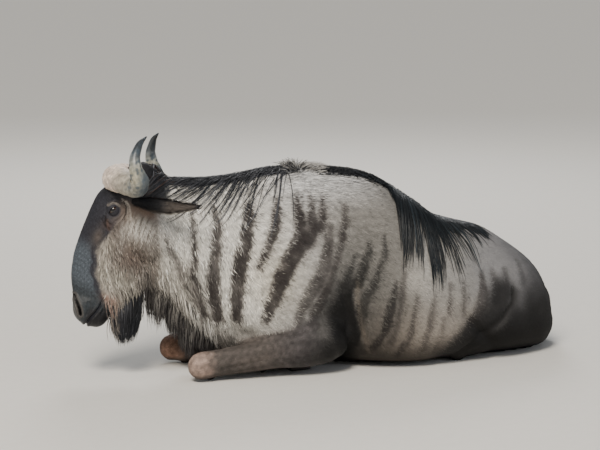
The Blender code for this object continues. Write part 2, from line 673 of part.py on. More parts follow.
def ball(name, centre, radius):
    bm = bmesh.new()
    bmesh.ops.create_icosphere(bm, subdivisions=2, radius=radius)
    bmesh.ops.translate(bm, verts=bm.verts, vec=tuple(centre))
    mesh = bpy.data.meshes.new(name)
    bm.to_mesh(mesh)
    bm.free()
    made = bpy.data.objects.new(name, mesh)
    bpy.context.scene.collection.objects.link(made)
    return made


def coat_strip(name, ends, far_angle, near_angle, thickness, swell):
    """Hair lying over the ridge of the back: a strip from far_angle(x) to near_angle(x), in degrees
    round the trunk, as thick as thickness(x) on the ridge and thinning to its edges."""
    rings = []
    front, back = ends
    share = np.linspace(0, 1, STRIP_LINES)
    middle_share = np.minimum(share, 1 - share) * 2
    for x in np.linspace(front, back, int((back - front) / STRIP_STEP)):
        angles = np.radians(far_angle(x) + (near_angle(x) - far_angle(x)) * share)
        surface = trunk_section(x, angles)
        round_way = trunk_section(x, angles + 0.02) - trunk_section(x, angles - 0.02)
        out = np.stack([np.zeros(STRIP_LINES), round_way[:, 2], -round_way[:, 1]], -1)
        out /= np.linalg.norm(out, axis=1)[:, None]
        towards_end = min(1.0, (x - front) / 0.05 + 0.25, (back - x) / 0.05 + 0.25)
        thick = STRIP_EDGE + (float(thickness(x)) - STRIP_EDGE) * np.sqrt(middle_share) * towards_end
        outer = surface + out * (thick + swell)[:, None]
        inner = surface - out * (STRIP_ROOT + swell)
        round_way /= np.linalg.norm(round_way, axis=1)[:, None]
        for line in (outer, inner):
            line[0] -= round_way[0] * swell
            line[-1] += round_way[-1] * swell
            line[:, 0] += -swell if x == front else swell if x == back else 0.0
        rings.append(np.concatenate([outer, inner[::-1]]))
    return loft(name, rings)


def mane(name, swell):
    return coat_strip(
        name, MANE_ENDS, smooth_curve(MANE_FAR_EDGE), smooth_curve(MANE_NEAR_EDGE),
        smooth_curve(MANE_THICKNESS), swell,
    )


def crest(name, swell):
    return coat_strip(
        name, CREST_ENDS, smooth_curve(CREST_FAR_EDGE), smooth_curve(CREST_NEAR_EDGE),
        smooth_curve(CREST_THICKNESS), swell,
    )


def beard(name, swell):
    rings = []
    for x, y, z, half_long, half_across in along(BEARD, 2):
        angles = ring_angles(8)
        ring = (
            x + np.cos(angles) * (half_long + swell), y + np.sin(angles) * (half_across + swell),
            np.full(len(angles), z),
        )
        rings.append(np.stack(ring, -1))
    lengthen(rings, swell)
    return loft(name, rings)


def fringe(name, swell):
    """The hair hanging from the throat: a blade in the middle plane, thick at the skin."""
    rings = []
    last = len(FRINGE_ROOTS) - 1
    for i, (root, tip) in enumerate(zip(FRINGE_ROOTS, FRINGE_TIPS)):
        end_shift = (-swell if i == 0 else swell if i == last else 0.0)
        middle = float(mid_line(root[0]))
        fall = np.array(tip) - np.array(root)
        sides = []
        for share, half in FRINGE_SECTION:
            point = np.array(root) + fall * share
            point += unit(fall) * (swell if share == 1.0 else -swell if share == 0.0 else 0.0)
            sides.append((point[0] + end_shift, half + swell, point[1]))
        left = [(x, middle - half, z) for x, half, z in sides]
        right = [(x, middle + half, z) for x, half, z in reversed(sides)]
        rings.append(np.array(left + right))
    return loft(name, rings)


def dock(name, swell):
    return limb(name, DOCK, 1, 8, 1.0, swell, blunt=True)


def tail_tuft(name, swell):
    return limb(name, TAIL_TUFT, 1, 8, 1.0, swell, lowest=-2 * swell, blunt=True)


def hoof(name, pastern, from_middle, swell):
    """One hoof at the end of a pastern, pointing on along it, with a flat side to the ground. It is the
    one nearer the middle of the animal where from_middle is -1, and the farther one where it is 1."""
    end = np.array(pastern[-1][:3])
    way = end - np.array(pastern[-2][:3])
    way = unit((way[0], way[1], 0.0))
    across = np.array([-way[1], way[0], 0.0])
    across *= 1 if across[1] * end[1] > 0 else -1
    start = end + way * pastern[-1][3] * 0.25 + across * from_middle * HOOF_SPACING / 2
    rings = []
    for share, half, height in HOOF_SECTIONS:
        wide = HOOF_WIDTH * half / 2 + swell
        tall = HOOF_HEIGHT * height + 2 * swell
        centre = start + way * HOOF_LENGTH * share
        ring = [centre + across * u * wide for u, v in HOOF_OUTLINE]
        for point, (u, v) in zip(ring, HOOF_OUTLINE):
            point[2] = v * tall - swell
        rings.append(np.array(ring))
    if swell:
        rings[0] -= way * swell
        rings[-1] += way * swell
    return loft(name, rings)


def clear_scene():
    for thing in list(bpy.data.objects):
        bpy.data.objects.remove(thing)


def whole_flesh():
    """The flesh in one closed piece, with few faces, resting level on the ground."""
    flesh = joined_flesh()
    push_reliefs(flesh.data)
    shrink = flesh.modifiers.new("fewer_faces", "DECIMATE")
    shrink.ratio = FLESH_TRIANGLES / (2 * len(flesh.data.polygons))
    flesh = evaluated_copy(flesh, "trunk")
    levelled = coordinates(flesh.data)
    levelled[:, 2] = np.where(levelled[:, 2] < GROUND_SNAP, 0.0, levelled[:, 2])
    flesh.data.vertices.foreach_set("co", levelled.ravel())
    return flesh


pieces = []


def take_block(rest, name, outline):
    cell = prism("cell", outline, 0.4)
    wider = prism("wider_cell", outline, 0.4, GAP)
    rest, piece = take(rest, name, cell, wider)
    pieces.append(piece)
    return rest


def take_limb(rest, name, stations, swell, slim=1.0):
    cell = limb("cell", stations, 1, 8, slim, swell, blunt=True)
    wider = limb("wider_cell", stations, 1, 8, slim, swell + GAP, blunt=True)
    for tool in (cell, wider):
        triangulated(tool)
    rest, piece = take(rest, name, cell, wider)
    pieces.append(piece)
    return rest


def part_flesh(rest):
    """Parts the flesh into head, neck, trunk and the lengths of each leg with thin cuts."""
    rest = take_block(rest, "head", HEAD_CELL)
    rest = take_block(rest, "neck", NECK_CELL)
    for side, label in ((-1, "left"), (1, "right")):
        rest = take_limb(rest, "fore_pastern_" + label, mirrored(FORE_PASTERN, side), 0.010)
        rest = take_limb(rest, "fore_cannon_" + label, mirrored(FORE_CANNON, side), 0.008)
        rest = take_limb(rest, "forearm_" + label, mirrored(FOREARM, side), 0.014, 0.85)
    rest = take_limb(rest, "hind_pastern_left", NEAR_PASTERN, 0.010)
    rest = take_limb(rest, "hind_cannon_left", NEAR_CANNON, 0.010)
    rest = take_limb(rest, "thigh_left", LEFT_HAUNCH_CELL, 0.0)
    rest = take_limb(rest, "hind_pastern_right", FAR_PASTERN, 0.010)
    rest = take_limb(rest, "hind_cannon_right", FAR_CANNON, 0.012)
    rest = take_limb(rest, "shank_right", FAR_SHANK, 0.012)
    rest = take_limb(rest, "thigh_right", RIGHT_HAUNCH_CELL, 0.0)
    pieces.append(rest)


def add(neighbours, name, maker):
    """Makes a separate part and cuts its room, with the gap round it, out of its neighbours."""
    for i, piece in enumerate(pieces):
        if piece.name in neighbours:
            tool = maker("room", GAP)
            triangulated(tool)
            pieces[i] = cut_room(piece, tool)
    part = maker(name, 0.0)
    triangulated(part)
    pieces.append(part)


def add_horns_ears_and_eyes():
    for side, label in ((-1, "right"), (1, "left")):
        add(("head",), "horn_" + label, lambda name, swell: loft(name, horn_rings(side, swell)))
        add(("head",), "ear_" + label, lambda name, swell: loft(name, ear_rings(side, swell)))
        down, out, forward = EYE_PLACE
        centre = on_head(down, out * side, forward)
        add(("head",), "eye_" + label, lambda name, swell: ball(name, centre, EYE_RADIUS + swell))


def add_long_hair_and_tail():
    add(("head", "neck", "trunk"), "mane", mane)
    add(("trunk",), "back_crest", crest)
    add(("head",), "beard", beard)
    add(("head", "neck", "trunk", "beard"), "throat_fringe", fringe)
    add(("trunk", "thigh_left"), "tail_dock", dock)
    add(("trunk", "thigh_left", "thigh_right", "tail_dock"), "tail_tuft", tail_tuft)


def add_hooves():
    feet = (
        ("fore", "left", mirrored(FORE_PASTERN, -1)), ("fore", "right", FORE_PASTERN),
        ("hind", "left", NEAR_PASTERN), ("hind", "right", FAR_PASTERN),
    )
    for leg, label, pastern in feet:
        neighbours = (leg + "_pastern_" + label, "trunk")
        for place, from_middle in (("inner", -1), ("outer", 1)):
            name = "hoof_" + leg + "_" + label + "_" + place
            add(neighbours, name, lambda title, swell: hoof(title, pastern, from_middle, swell))


def linear(hex_colour):
    """An sRGB colour such as #8A8A84 as the linear values that a shader takes."""
    values = [int(hex_colour[i:i + 2], 16) / 255 for i in (1, 3, 5)]
    return [v / 12.92 if v <= 0.04045 else ((v + 0.055) / 1.055) ** 2.4 for v in values] + [1.0]


def finish_of(name):
    """The (colour, roughness) of a part, found by how its name starts."""
    return next(finish for start, finish in FINISHES.items() if name.startswith(start))


def dress(part, collection):
    """Gives a part its own material and smooth shading, and moves it to the animal's collection."""
    colour, roughness = finish_of(part.name)
    material = bpy.data.materials.new(part.name)
    material.use_nodes = True
    shader = material.node_tree.nodes["Principled BSDF"]
    shader.inputs["Base Color"].default_value = linear(colour)
    shader.inputs["Roughness"].default_value = roughness
    shader.inputs["Metallic"].default_value = 0.0
    part.data.materials.clear()
    part.data.materials.append(material)
    part.data.shade_smooth()
    part.data.set_sharp_from_angle(angle=math.radians(SHARP_ANGLE))
    for holder in list(part.users_collection):
        holder.objects.unlink(part)
    collection.objects.link(part)


clear_scene()
part_flesh(whole_flesh())
add_horns_ears_and_eyes()
add_long_hair_and_tail()
add_hooves()
animal = bpy.data.collections.new("blue_wildebeest")
bpy.context.scene.collection.children.link(animal)
for piece in pieces:
    dress(piece, animal)
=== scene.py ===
"""A blue wildebeest bull lying on its chest, as a museum shows a life-size model of one: skin, short coat,
long hair, horns, ears, eyes and hooves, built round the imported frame. Lengths are in metres, and angles are
written in degrees. It faces -X, its left side is -Y, and it lies on z = 0."""

import math

import bmesh
import bpy
import numpy as np
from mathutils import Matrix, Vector
from mathutils.bvhtree import BVHTree


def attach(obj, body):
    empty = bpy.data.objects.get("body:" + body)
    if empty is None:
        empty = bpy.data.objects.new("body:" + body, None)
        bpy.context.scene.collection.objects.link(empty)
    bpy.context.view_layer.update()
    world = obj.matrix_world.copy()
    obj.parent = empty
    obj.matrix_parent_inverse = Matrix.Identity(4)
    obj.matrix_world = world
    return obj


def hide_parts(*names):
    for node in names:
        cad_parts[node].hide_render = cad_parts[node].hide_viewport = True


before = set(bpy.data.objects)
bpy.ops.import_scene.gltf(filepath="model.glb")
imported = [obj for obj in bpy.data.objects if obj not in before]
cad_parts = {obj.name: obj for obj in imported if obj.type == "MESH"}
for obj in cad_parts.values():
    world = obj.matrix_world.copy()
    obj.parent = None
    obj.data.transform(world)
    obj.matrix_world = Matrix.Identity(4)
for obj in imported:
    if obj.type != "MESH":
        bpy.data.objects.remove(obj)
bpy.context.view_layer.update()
chance = np.random.default_rng(20)

# The camera. It stands off the animal's left shoulder at a grown person's eye height and looks a little
# down, with a long lens, so that the body lies broadside and the head is seen almost from its left side.
CAMERA_PLACE = (-2.642, -6.516, 1.6)
CAMERA_HEADING = (0.366, 0.9306)
CAMERA_LOOKS_DOWN = 9.08
CAMERA_FOCAL_PIXELS = 2065
CAMERA_SEES_TO = 100.0
FRAME_WIDTH_PIXELS = 600
SENSOR_WIDTH_MM = 36.0


def linked(name, data):
    """A new object of the scene, of a mesh, a light or a camera."""
    made = bpy.data.objects.new(name, data)
    bpy.context.scene.collection.objects.link(made)
    return made


camera_data = bpy.data.cameras.new("camera")
camera_data.sensor_width = SENSOR_WIDTH_MM
camera_data.lens = SENSOR_WIDTH_MM * CAMERA_FOCAL_PIXELS / FRAME_WIDTH_PIXELS
camera_data.clip_end = CAMERA_SEES_TO
camera = linked("camera", camera_data)
camera.location = CAMERA_PLACE
camera.rotation_euler = (math.radians(90 - CAMERA_LOOKS_DOWN), 0.0, -math.atan2(*CAMERA_HEADING))
bpy.context.scene.camera = camera

# The studio. A pale matt floor of painted board, a soft sun and a large key light high on the left of the
# camera, a weaker fill and a rim light from behind, under an even pale sky. Lights are (name, place, size,
# power, tint).
FLOOR_HALF = 45.0
FLOOR_GRAIN_MM = 40.0
FLOOR_PAINTS = ("#D6D3CD", "#DCD9D3")
SKY_TINT = "#EEF2F6"
SKY_STRENGTH = 0.42
LIGHTS = (
    ("key", (-3.2, -4.2, 5.2), 2.2, 330.0, "#FFF6E8"),
    ("fill", (3.6, -5.0, 2.2), 3.0, 60.0, "#EAF1FF"),
    ("rim", (1.5, 4.8, 4.2), 2.5, 150.0, "#FFFFFF"),
)
SUN_FROM = (-2.2, -2.6, 5.0)
SUN_STRENGTH = 1.6
SUN_WIDTH_DEGREES = 14.0
SUN_TINT = "#FFF8EE"
LIGHT_AIM = (0.0, 0.0, 0.3)


def hex_shares(colour):
    """The red, green and blue of an sRGB hex text, each as a share of one."""
    return [int(colour[i:i + 2], 16) / 255 for i in (1, 3, 5)]


def linear(colour):
    """Turns an sRGB colour, a hex text or an array of shares of one, to the linear values of a shader."""
    if isinstance(colour, str):
        colour = hex_shares(colour)
    colour = np.asarray(colour, float)
    return np.where(colour <= 0.04045, colour / 12.92, ((colour + 0.055) / 1.055) ** 2.4)


def opaque(colour):
    return (*linear(colour), 1.0)


def add_node(tree, kind, settings, links):
    """Adds a node; settings are its own properties, links are socket values or sockets to join to it."""
    made = tree.nodes.new(kind)
    for name, value in settings.items():
        setattr(made, name, value)
    for socket, value in links.items():
        if isinstance(value, bpy.types.NodeSocket):
            tree.links.new(value, made.inputs[socket])
        else:
            made.inputs[socket].default_value = value
    return made


def new_material(name):
    """A material with a Principled shader, as (material, tree, shader)."""
    material = bpy.data.materials.new(name)
    material.use_nodes = True
    return material, material.node_tree, material.node_tree.nodes["Principled BSDF"]


def finished_mesh(bm, name):
    """Writes a bmesh to a new mesh and frees it."""
    mesh = bpy.data.meshes.new(name)
    bm.to_mesh(mesh)
    bm.free()
    return mesh


# Matt painted board: one pale grey with the faintest unevenness of a rolled coat of paint.
paint, tree, shader = new_material("matt_painted_board")
place = add_node(tree, "ShaderNodeTexCoord", {}, {})
grain = add_node(
    tree, "ShaderNodeTexNoise", {}, {"Vector": place.outputs["Object"], "Scale": 1000 / FLOOR_GRAIN_MM},
)
mottle = add_node(
    tree, "ShaderNodeMix", {"data_type": "RGBA"},
    {"Factor": grain.outputs["Fac"], 6: opaque(FLOOR_PAINTS[0]), 7: opaque(FLOOR_PAINTS[1])},
)
tree.links.new(mottle.outputs[2], shader.inputs["Base Color"])
shader.inputs["Roughness"].default_value = 0.85
shader.inputs["Specular IOR Level"].default_value = 0.2
bm = bmesh.new()
bmesh.ops.create_grid(bm, x_segments=2, y_segments=2, size=FLOOR_HALF)
floor_mesh = finished_mesh(bm, "floor")
floor_mesh.materials.append(paint)
floor = linked("floor", floor_mesh)

for label, where, size, power, tint in LIGHTS:
    light_data = bpy.data.lights.new(label, "AREA")
    light_data.shape = "DISK"
    light_data.size = size
    light_data.energy = power
    light_data.color = tuple(linear(tint))
    light = linked(label, light_data)
    light.location = where
    light.rotation_euler = (Vector(LIGHT_AIM) - Vector(where)).to_track_quat("-Z", "Y").to_euler()

sun_data = bpy.data.lights.new("sun", "SUN")
sun_data.energy = SUN_STRENGTH
sun_data.angle = math.radians(SUN_WIDTH_DEGREES)
sun_data.color = tuple(linear(SUN_TINT))
sun = linked("sun", sun_data)
sun.rotation_euler = (Vector(LIGHT_AIM) - Vector(SUN_FROM)).to_track_quat("-Z", "Y").to_euler()

sky = bpy.data.worlds.new("sky")
sky.use_nodes = True
sky.node_tree.nodes["Background"].inputs["Color"].default_value = opaque(SKY_TINT)
sky.node_tree.nodes["Background"].inputs["Strength"].default_value = SKY_STRENGTH
bpy.context.scene.world = sky

# The form of the body. Lofts through sections of the trunk and the head, with a round form for each
# length of leg, meet in one surface, as muscle and bone do under one hide. The trunk's lines are (x, value)
# and the head's (distance down the face, value); a roundness of 2 makes an ellipse.
SKIN_VOXEL = 0.0085
BLEND_ROUNDS = 6
BLEND_FACTOR = 0.5
TRUNK_SIDES = 56
FACE_SIDES = 48
LEG_SIDES = 24
BACK_LINE = (
    (-0.66, 0.648), (-0.60, 0.672), (-0.52, 0.668), (-0.44, 0.664), (-0.36, 0.667), (-0.28, 0.675),
    (-0.18, 0.686), (-0.08, 0.689), (0.03, 0.676), (0.10, 0.664), (0.17, 0.644), (0.236, 0.608),
    (0.294, 0.573), (0.346, 0.538), (0.40, 0.498), (0.453, 0.482), (0.52, 0.467), (0.60, 0.445),
    (0.66, 0.408), (0.73, 0.358), (0.78, 0.308), (0.812, 0.252), (0.838, 0.195), (0.858, 0.145),
    (0.866, 0.110),
)
CHEST_LINE = (
    (-0.66, 0.40), (-0.62, 0.315), (-0.56, 0.250), (-0.50, 0.185), (-0.44, 0.120), (-0.38, 0.060),
    (-0.32, 0.012), (-0.26, 0.0), (0.78, 0.0), (0.83, 0.008), (0.858, 0.040), (0.866, 0.075),
)
HALF_WIDTH = (
    (-0.66, 0.080), (-0.60, 0.100), (-0.52, 0.116), (-0.44, 0.142), (-0.36, 0.172), (-0.28, 0.192),
    (-0.18, 0.204), (-0.06, 0.212), (0.06, 0.230), (0.18, 0.256), (0.30, 0.270), (0.42, 0.266),
    (0.54, 0.250), (0.66, 0.224), (0.76, 0.176), (0.82, 0.120), (0.85, 0.075), (0.866, 0.035),
)
WIDEST_HEIGHT = (
    (-0.66, 0.50), (-0.56, 0.42), (-0.44, 0.34), (-0.30, 0.27), (-0.10, 0.25), (0.10, 0.235),
    (0.30, 0.205), (0.50, 0.185), (0.70, 0.165), (0.82, 0.13), (0.866, 0.092),
)
RIDGE_ROUNDNESS = (
    (-0.66, 2.0), (-0.50, 1.85), (-0.30, 1.75), (-0.10, 1.75), (0.10, 1.85), (0.30, 2.0), (0.9, 2.05),
)
BELLY_ROUNDNESS = (
    (-0.66, 2.0), (-0.40, 1.9), (-0.25, 1.7), (0.0, 2.0), (0.12, 2.8), (0.30, 3.5), (0.55, 3.2), (0.9, 2.4),
)
MID_LINE = ((-0.66, 0.030), (-0.56, 0.014), (-0.44, 0.0), (0.40, 0.0), (0.70, -0.020), (0.90, -0.030))
PELVIS_ROLL = ((-0.66, 0.0), (0.20, 0.0), (0.50, 5.0), (0.75, 13.0), (0.90, 15.0))
RIDGE_LEAN_SHARE = 0.5
TRUNK_STATIONS = np.concatenate([np.arange(-0.66, 0.78, 0.02), np.arange(0.78, 0.86, 0.01), [0.862, 0.866]])

CROWN = np.array([-0.6475, 0.030, 0.681])
HEAD_DROP = math.radians(66.0)
HEAD_TURN = math.radians(23.0)
HEAD_TILT = math.radians(4.5)
NOSE_LINE = (
    (-0.05, 0.000), (-0.03, 0.020), (0.0, 0.036), (0.047, 0.064), (0.085, 0.092), (0.115, 0.103),
    (0.18, 0.107), (0.241, 0.108), (0.315, 0.105), (0.36, 0.096), (0.397, 0.085), (0.43, 0.069),
    (0.458, 0.053), (0.49, 0.042), (0.514, 0.030), (0.528, 0.012), (0.536, -0.010),
)
JAW_LINE = (
    (-0.05, -0.06), (0.0, -0.12), (0.05, -0.15), (0.12, -0.168), (0.20, -0.176), (0.28, -0.176),
    (0.34, -0.165), (0.38, -0.140), (0.405, -0.124), (0.44, -0.106), (0.47, -0.094), (0.50, -0.088),
    (0.52, -0.078), (0.532, -0.060), (0.536, -0.040),
)
FACE_HALF_WIDTH = (
    (-0.05, 0.050), (0.0, 0.078), (0.05, 0.088), (0.10, 0.092), (0.15, 0.094), (0.20, 0.086),
    (0.26, 0.074), (0.32, 0.064), (0.38, 0.057), (0.43, 0.055), (0.47, 0.059), (0.50, 0.060),
    (0.52, 0.053), (0.532, 0.034), (0.536, 0.018),
)
FACE_WIDEST = (
    (-0.05, -0.02), (0.0, -0.01), (0.05, 0.0), (0.10, 0.025), (0.15, 0.038), (0.20, 0.020),
    (0.26, -0.010), (0.32, -0.020), (0.38, -0.010), (0.45, -0.005), (0.50, -0.015), (0.536, -0.022),
)
FACE_TOP_ROUNDNESS = ((-0.05, 2.0), (0.10, 2.3), (0.20, 2.3), (0.30, 2.1), (0.45, 2.2), (0.536, 2.0))
FACE_JAW_ROUNDNESS = (
    (-0.05, 2.0), (0.10, 1.8), (0.20, 1.7), (0.30, 1.6), (0.40, 1.8), (0.48, 2.2), (0.536, 2.2),
)
FACE_STATIONS = np.concatenate([np.arange(-0.05, 0.50, 0.015), np.linspace(0.50, 0.536, 8)])

# Legs and dock as stations of (x, y, z, radius), each ending towards the hoof or the tail's tip; those of
# the forelegs are for the right side.
FOREARM = (
    (-0.055, 0.192, 0.112, 0.082), (-0.14, 0.188, 0.098, 0.073), (-0.24, 0.176, 0.084, 0.058),
    (-0.34, 0.166, 0.070, 0.051), (-0.44, 0.158, 0.060, 0.047), (-0.492, 0.156, 0.054, 0.050),
)
FORE_CANNON = ((-0.462, 0.138, 0.038, 0.037), (-0.40, 0.122, 0.031, 0.027), (-0.27, 0.104, 0.030, 0.026))
FORE_PASTERN = ((-0.262, 0.102, 0.033, 0.032), (-0.215, 0.098, 0.029, 0.025), (-0.168, 0.094, 0.030, 0.027))
UPPER_ARM = ((-0.33, 0.125, 0.235, 0.085), (-0.22, 0.140, 0.190, 0.085), (-0.12, 0.165, 0.150, 0.075))
NEAR_THIGH = (
    (0.755, -0.060, 0.155, 0.108), (0.69, -0.095, 0.165, 0.138), (0.60, -0.135, 0.140, 0.126),
    (0.50, -0.160, 0.088, 0.088), (0.445, -0.168, 0.060, 0.062),
)
NEAR_CANNON = ((0.56, 0.060, 0.045, 0.034), (0.47, 0.150, 0.034, 0.028), (0.40, 0.222, 0.031, 0.028))
NEAR_PASTERN = ((0.395, 0.228, 0.034, 0.033), (0.355, 0.252, 0.030, 0.026), (0.315, 0.272, 0.031, 0.028))
FAR_THIGH = (
    (0.735, 0.060, 0.175, 0.098), (0.67, 0.110, 0.200, 0.132), (0.57, 0.185, 0.225, 0.125),
    (0.47, 0.245, 0.222, 0.095), (0.43, 0.262, 0.218, 0.080),
)
FAR_SHANK = (
    (0.445, 0.270, 0.205, 0.082), (0.54, 0.300, 0.140, 0.060), (0.64, 0.326, 0.084, 0.040),
    (0.69, 0.336, 0.060, 0.036),
)
FAR_CANNON = ((0.690, 0.338, 0.052, 0.040), (0.60, 0.356, 0.042, 0.029), (0.46, 0.384, 0.034, 0.029))
FAR_PASTERN = ((0.455, 0.386, 0.036, 0.034), (0.41, 0.396, 0.031, 0.026), (0.37, 0.404, 0.031, 0.028))
ROUND_END = ((0.95, 0.31), (0.8, 0.6), (0.5, 0.866))
DOCK = (
    (0.768, -0.030, 0.250, 0.032), (0.806, -0.032, 0.206, 0.027), (0.832, -0.034, 0.170, 0.022),
    (0.850, -0.034, 0.140, 0.018), (0.860, -0.032, 0.105, 0.016),
)


def smooth_curve(knots):
    """A monotone cubic through (x, value) knots, held level beyond its ends."""
    xs = np.array([knot[0] for knot in knots], float)
    ys = np.array([knot[1] for knot in knots], float)
    steps = np.diff(xs)
    rises = np.diff(ys) / steps
    slopes = np.zeros(len(xs))
    slopes[0] = rises[0]
    slopes[-1] = rises[-1]
    for i in range(1, len(xs) - 1):
        if rises[i - 1] * rises[i] > 0:
            before = 2 * steps[i] + steps[i - 1]
            after = steps[i] + 2 * steps[i - 1]
            slopes[i] = (before + after) / (before / rises[i - 1] + after / rises[i])

    def value(x):
        x = np.clip(np.asarray(x, float), xs[0], xs[-1])
        i = np.clip(np.searchsorted(xs, x) - 1, 0, len(xs) - 2)
        t = (x - xs[i]) / steps[i]
        left = ys[i] * (1 + 2 * t) * (1 - t) ** 2 + slopes[i] * steps[i] * t * (1 - t) ** 2
        right = ys[i + 1] * t * t * (3 - 2 * t) + slopes[i + 1] * steps[i] * t * t * (t - 1)
        return left + right

    return value


def unit(vectors):
    vectors = np.asarray(vectors, float)
    return vectors / np.maximum(np.linalg.norm(vectors, axis=-1, keepdims=True), 1e-9)


def ramp(value, low, high):
    """0 at low, 1 at high, with an easy start and end; low may be the larger."""
    share = np.clip((np.asarray(value, float) - low) / (high - low), 0, 1)
    return share * share * (3 - 2 * share)


def oval(angles, half, above, below, roundness_above, roundness_below):
    """Points (across, up) of a section whose upper and lower halves bulge differently."""
    across = np.cos(angles)
    upward = np.sin(angles)
    power = 2 / np.where(upward >= 0, roundness_above, roundness_below)
    wide = np.sign(across) * np.abs(across) ** power * half
    high = np.sign(upward) * np.abs(upward) ** power * np.where(upward >= 0, above, below)
    return wide, high


back_line, chest_line = smooth_curve(BACK_LINE), smooth_curve(CHEST_LINE)
half_width, widest_height = smooth_curve(HALF_WIDTH), smooth_curve(WIDEST_HEIGHT)
ridge_roundness, belly_roundness = smooth_curve(RIDGE_ROUNDNESS), smooth_curve(BELLY_ROUNDNESS)
mid_line, pelvis_roll = smooth_curve(MID_LINE), smooth_curve(PELVIS_ROLL)
nose_line, jaw_line = smooth_curve(NOSE_LINE), smooth_curve(JAW_LINE)
face_half_width, face_widest = smooth_curve(FACE_HALF_WIDTH), smooth_curve(FACE_WIDEST)
face_top_roundness = smooth_curve(FACE_TOP_ROUNDNESS)
face_jaw_roundness = smooth_curve(FACE_JAW_ROUNDNESS)


def round_trunk(x, angles):
    """Points of the trunk at x and at angles round it: 90 degrees is the ridge and 180 the left side."""
    x, angles = np.broadcast_arrays(np.asarray(x, float), angles)
    up = back_line(x) - widest_height(x)
    down = widest_height(x) - chest_line(x)
    across, height = oval(angles, half_width(x), up, down, ridge_roundness(x), belly_roundness(x))
    lean = np.clip(height / up, 0, 1) * up * np.sin(np.radians(pelvis_roll(x))) * RIDGE_LEAN_SHARE
    return np.stack([x, mid_line(x) + across - lean, widest_height(x) + height], -1)


face_way_level = np.array([-math.cos(HEAD_DROP), 0.0, -math.sin(HEAD_DROP)])
face_front_straight = np.array([-math.sin(HEAD_DROP), 0.0, math.cos(HEAD_DROP)])
face_left_straight = np.array([0.0, -1.0, 0.0])
face_left_level = face_left_straight * math.cos(HEAD_TURN) + face_front_straight * math.sin(HEAD_TURN)
FACE_FRONT = face_front_straight * math.cos(HEAD_TURN) - face_left_straight * math.sin(HEAD_TURN)
FACE_LEFT = face_left_level * math.cos(HEAD_TILT) + face_way_level * math.sin(HEAD_TILT)
FACE_WAY = face_way_level * math.cos(HEAD_TILT) - face_left_level * math.sin(HEAD_TILT)
HEAD_AXES = np.stack([FACE_WAY, FACE_LEFT, FACE_FRONT])


def on_head(places):
    """World points of places given as (down the face, out to the left, forward), from the crown."""
    return CROWN + np.asarray(places, float) @ HEAD_AXES


def in_head(points):
    """The same three measures of world points, as three arrays."""
    return ((points - CROWN) @ HEAD_AXES.T).T


def ring_angles(count):
    return np.linspace(0, 2 * math.pi, count, endpoint=False)


def add_loft(bm, rings):
    """Adds a closed solid through rings of equal point counts."""
    loops = [[bm.verts.new(point) for point in ring] for ring in rings]
    count = len(loops[0])
    for before, after in zip(loops, loops[1:]):
        for j in range(count):
            k = (j + 1) % count
            bm.faces.new((before[j], before[k], after[k], after[j]))
    bm.faces.new(list(reversed(loops[0])))
    bm.faces.new(loops[-1])


def along(stations, per_span):
    """Stations resampled smoothly, with per_span steps from each to the next."""
    table = np.array(stations, float)
    steps = np.linspace(0, len(table) - 1, (len(table) - 1) * per_span + 1)
    index = np.arange(len(table))
    columns = [smooth_curve(list(zip(index, table[:, i])))(steps) for i in range(table.shape[1])]
    return np.stack(columns, -1)


def carried_frames(middle, first_across):
    """Unit vectors across and up along a line of points, turned as little as can be from each to the next."""
    ways = unit(np.gradient(middle, axis=0))
    across = np.asarray(first_across, float)
    acrosses = []
    for way in ways:
        across = unit(across - (across @ way) * way)
        acrosses.append(across)
    acrosses = np.array(acrosses)
    return acrosses, np.cross(acrosses, ways), ways


def limb_rings(stations, slim):
    """Rings of a round-ended form along stations of (x, y, z, radius), slim being its width to its height."""
    table = along(stations, per_span=5)
    middle, radii = table[:, :3], table[:, 3]
    across, upward, ways = carried_frames(middle, np.cross(middle[1] - middle[0], (0.0, 0.0, 1.0)))
    angles = ring_angles(LEG_SIDES)
    wide = np.cos(angles)[None, :, None] * across[:, None] * slim
    high = np.sin(angles)[None, :, None] * upward[:, None]
    rings = middle[:, None] + (wide + high) * radii[:, None, None]
    front = [
        middle[0] + (rings[0] - middle[0]) * narrow - ways[0] * radii[0] * out for out, narrow in ROUND_END
    ]
    back = [
        middle[-1] + (rings[-1] - middle[-1]) * narrow + ways[-1] * radii[-1] * out
        for out, narrow in reversed(ROUND_END)
    ]
    return front + list(rings) + back


def mirrored(stations):
    return tuple((x, -y, *rest) for x, y, *rest in stations)


def face_section(s, angles):
    middle = face_widest(s)
    across, height = oval(
        angles, face_half_width(s), nose_line(s) - middle, middle - jaw_line(s),
        face_top_roundness(s), face_jaw_roundness(s),
    )
    return on_head(np.stack([np.full(len(angles), s), across, middle + height], -1))


throat = (
    (*on_head((0.10, 0.0, -0.03)), 0.092), (*on_head((0.17, 0.0, -0.10)), 0.100),
    (-0.545, 0.01, 0.455, 0.105),
)

# Each length of leg as (its name, its stations, its width to its height).
LEGS = (
    ("forearm", mirrored(FOREARM), 0.82), ("forearm", FOREARM, 0.82),
    ("fore_cannon", mirrored(FORE_CANNON), 1.0), ("fore_cannon", FORE_CANNON, 1.0),
    ("fore_pastern", mirrored(FORE_PASTERN), 1.0), ("fore_pastern", FORE_PASTERN, 1.0),
    ("thigh", NEAR_THIGH, 0.9), ("thigh", FAR_THIGH, 0.9), ("shank", FAR_SHANK, 1.0),
    ("hind_cannon", NEAR_CANNON, 1.0), ("hind_cannon", FAR_CANNON, 1.0),
    ("hind_pastern", NEAR_PASTERN, 1.0), ("hind_pastern", FAR_PASTERN, 1.0),
)
forms = bmesh.new()
add_loft(forms, [round_trunk(x, ring_angles(TRUNK_SIDES)) for x in TRUNK_STATIONS])
add_loft(forms, [face_section(s, ring_angles(FACE_SIDES)) for s in FACE_STATIONS])
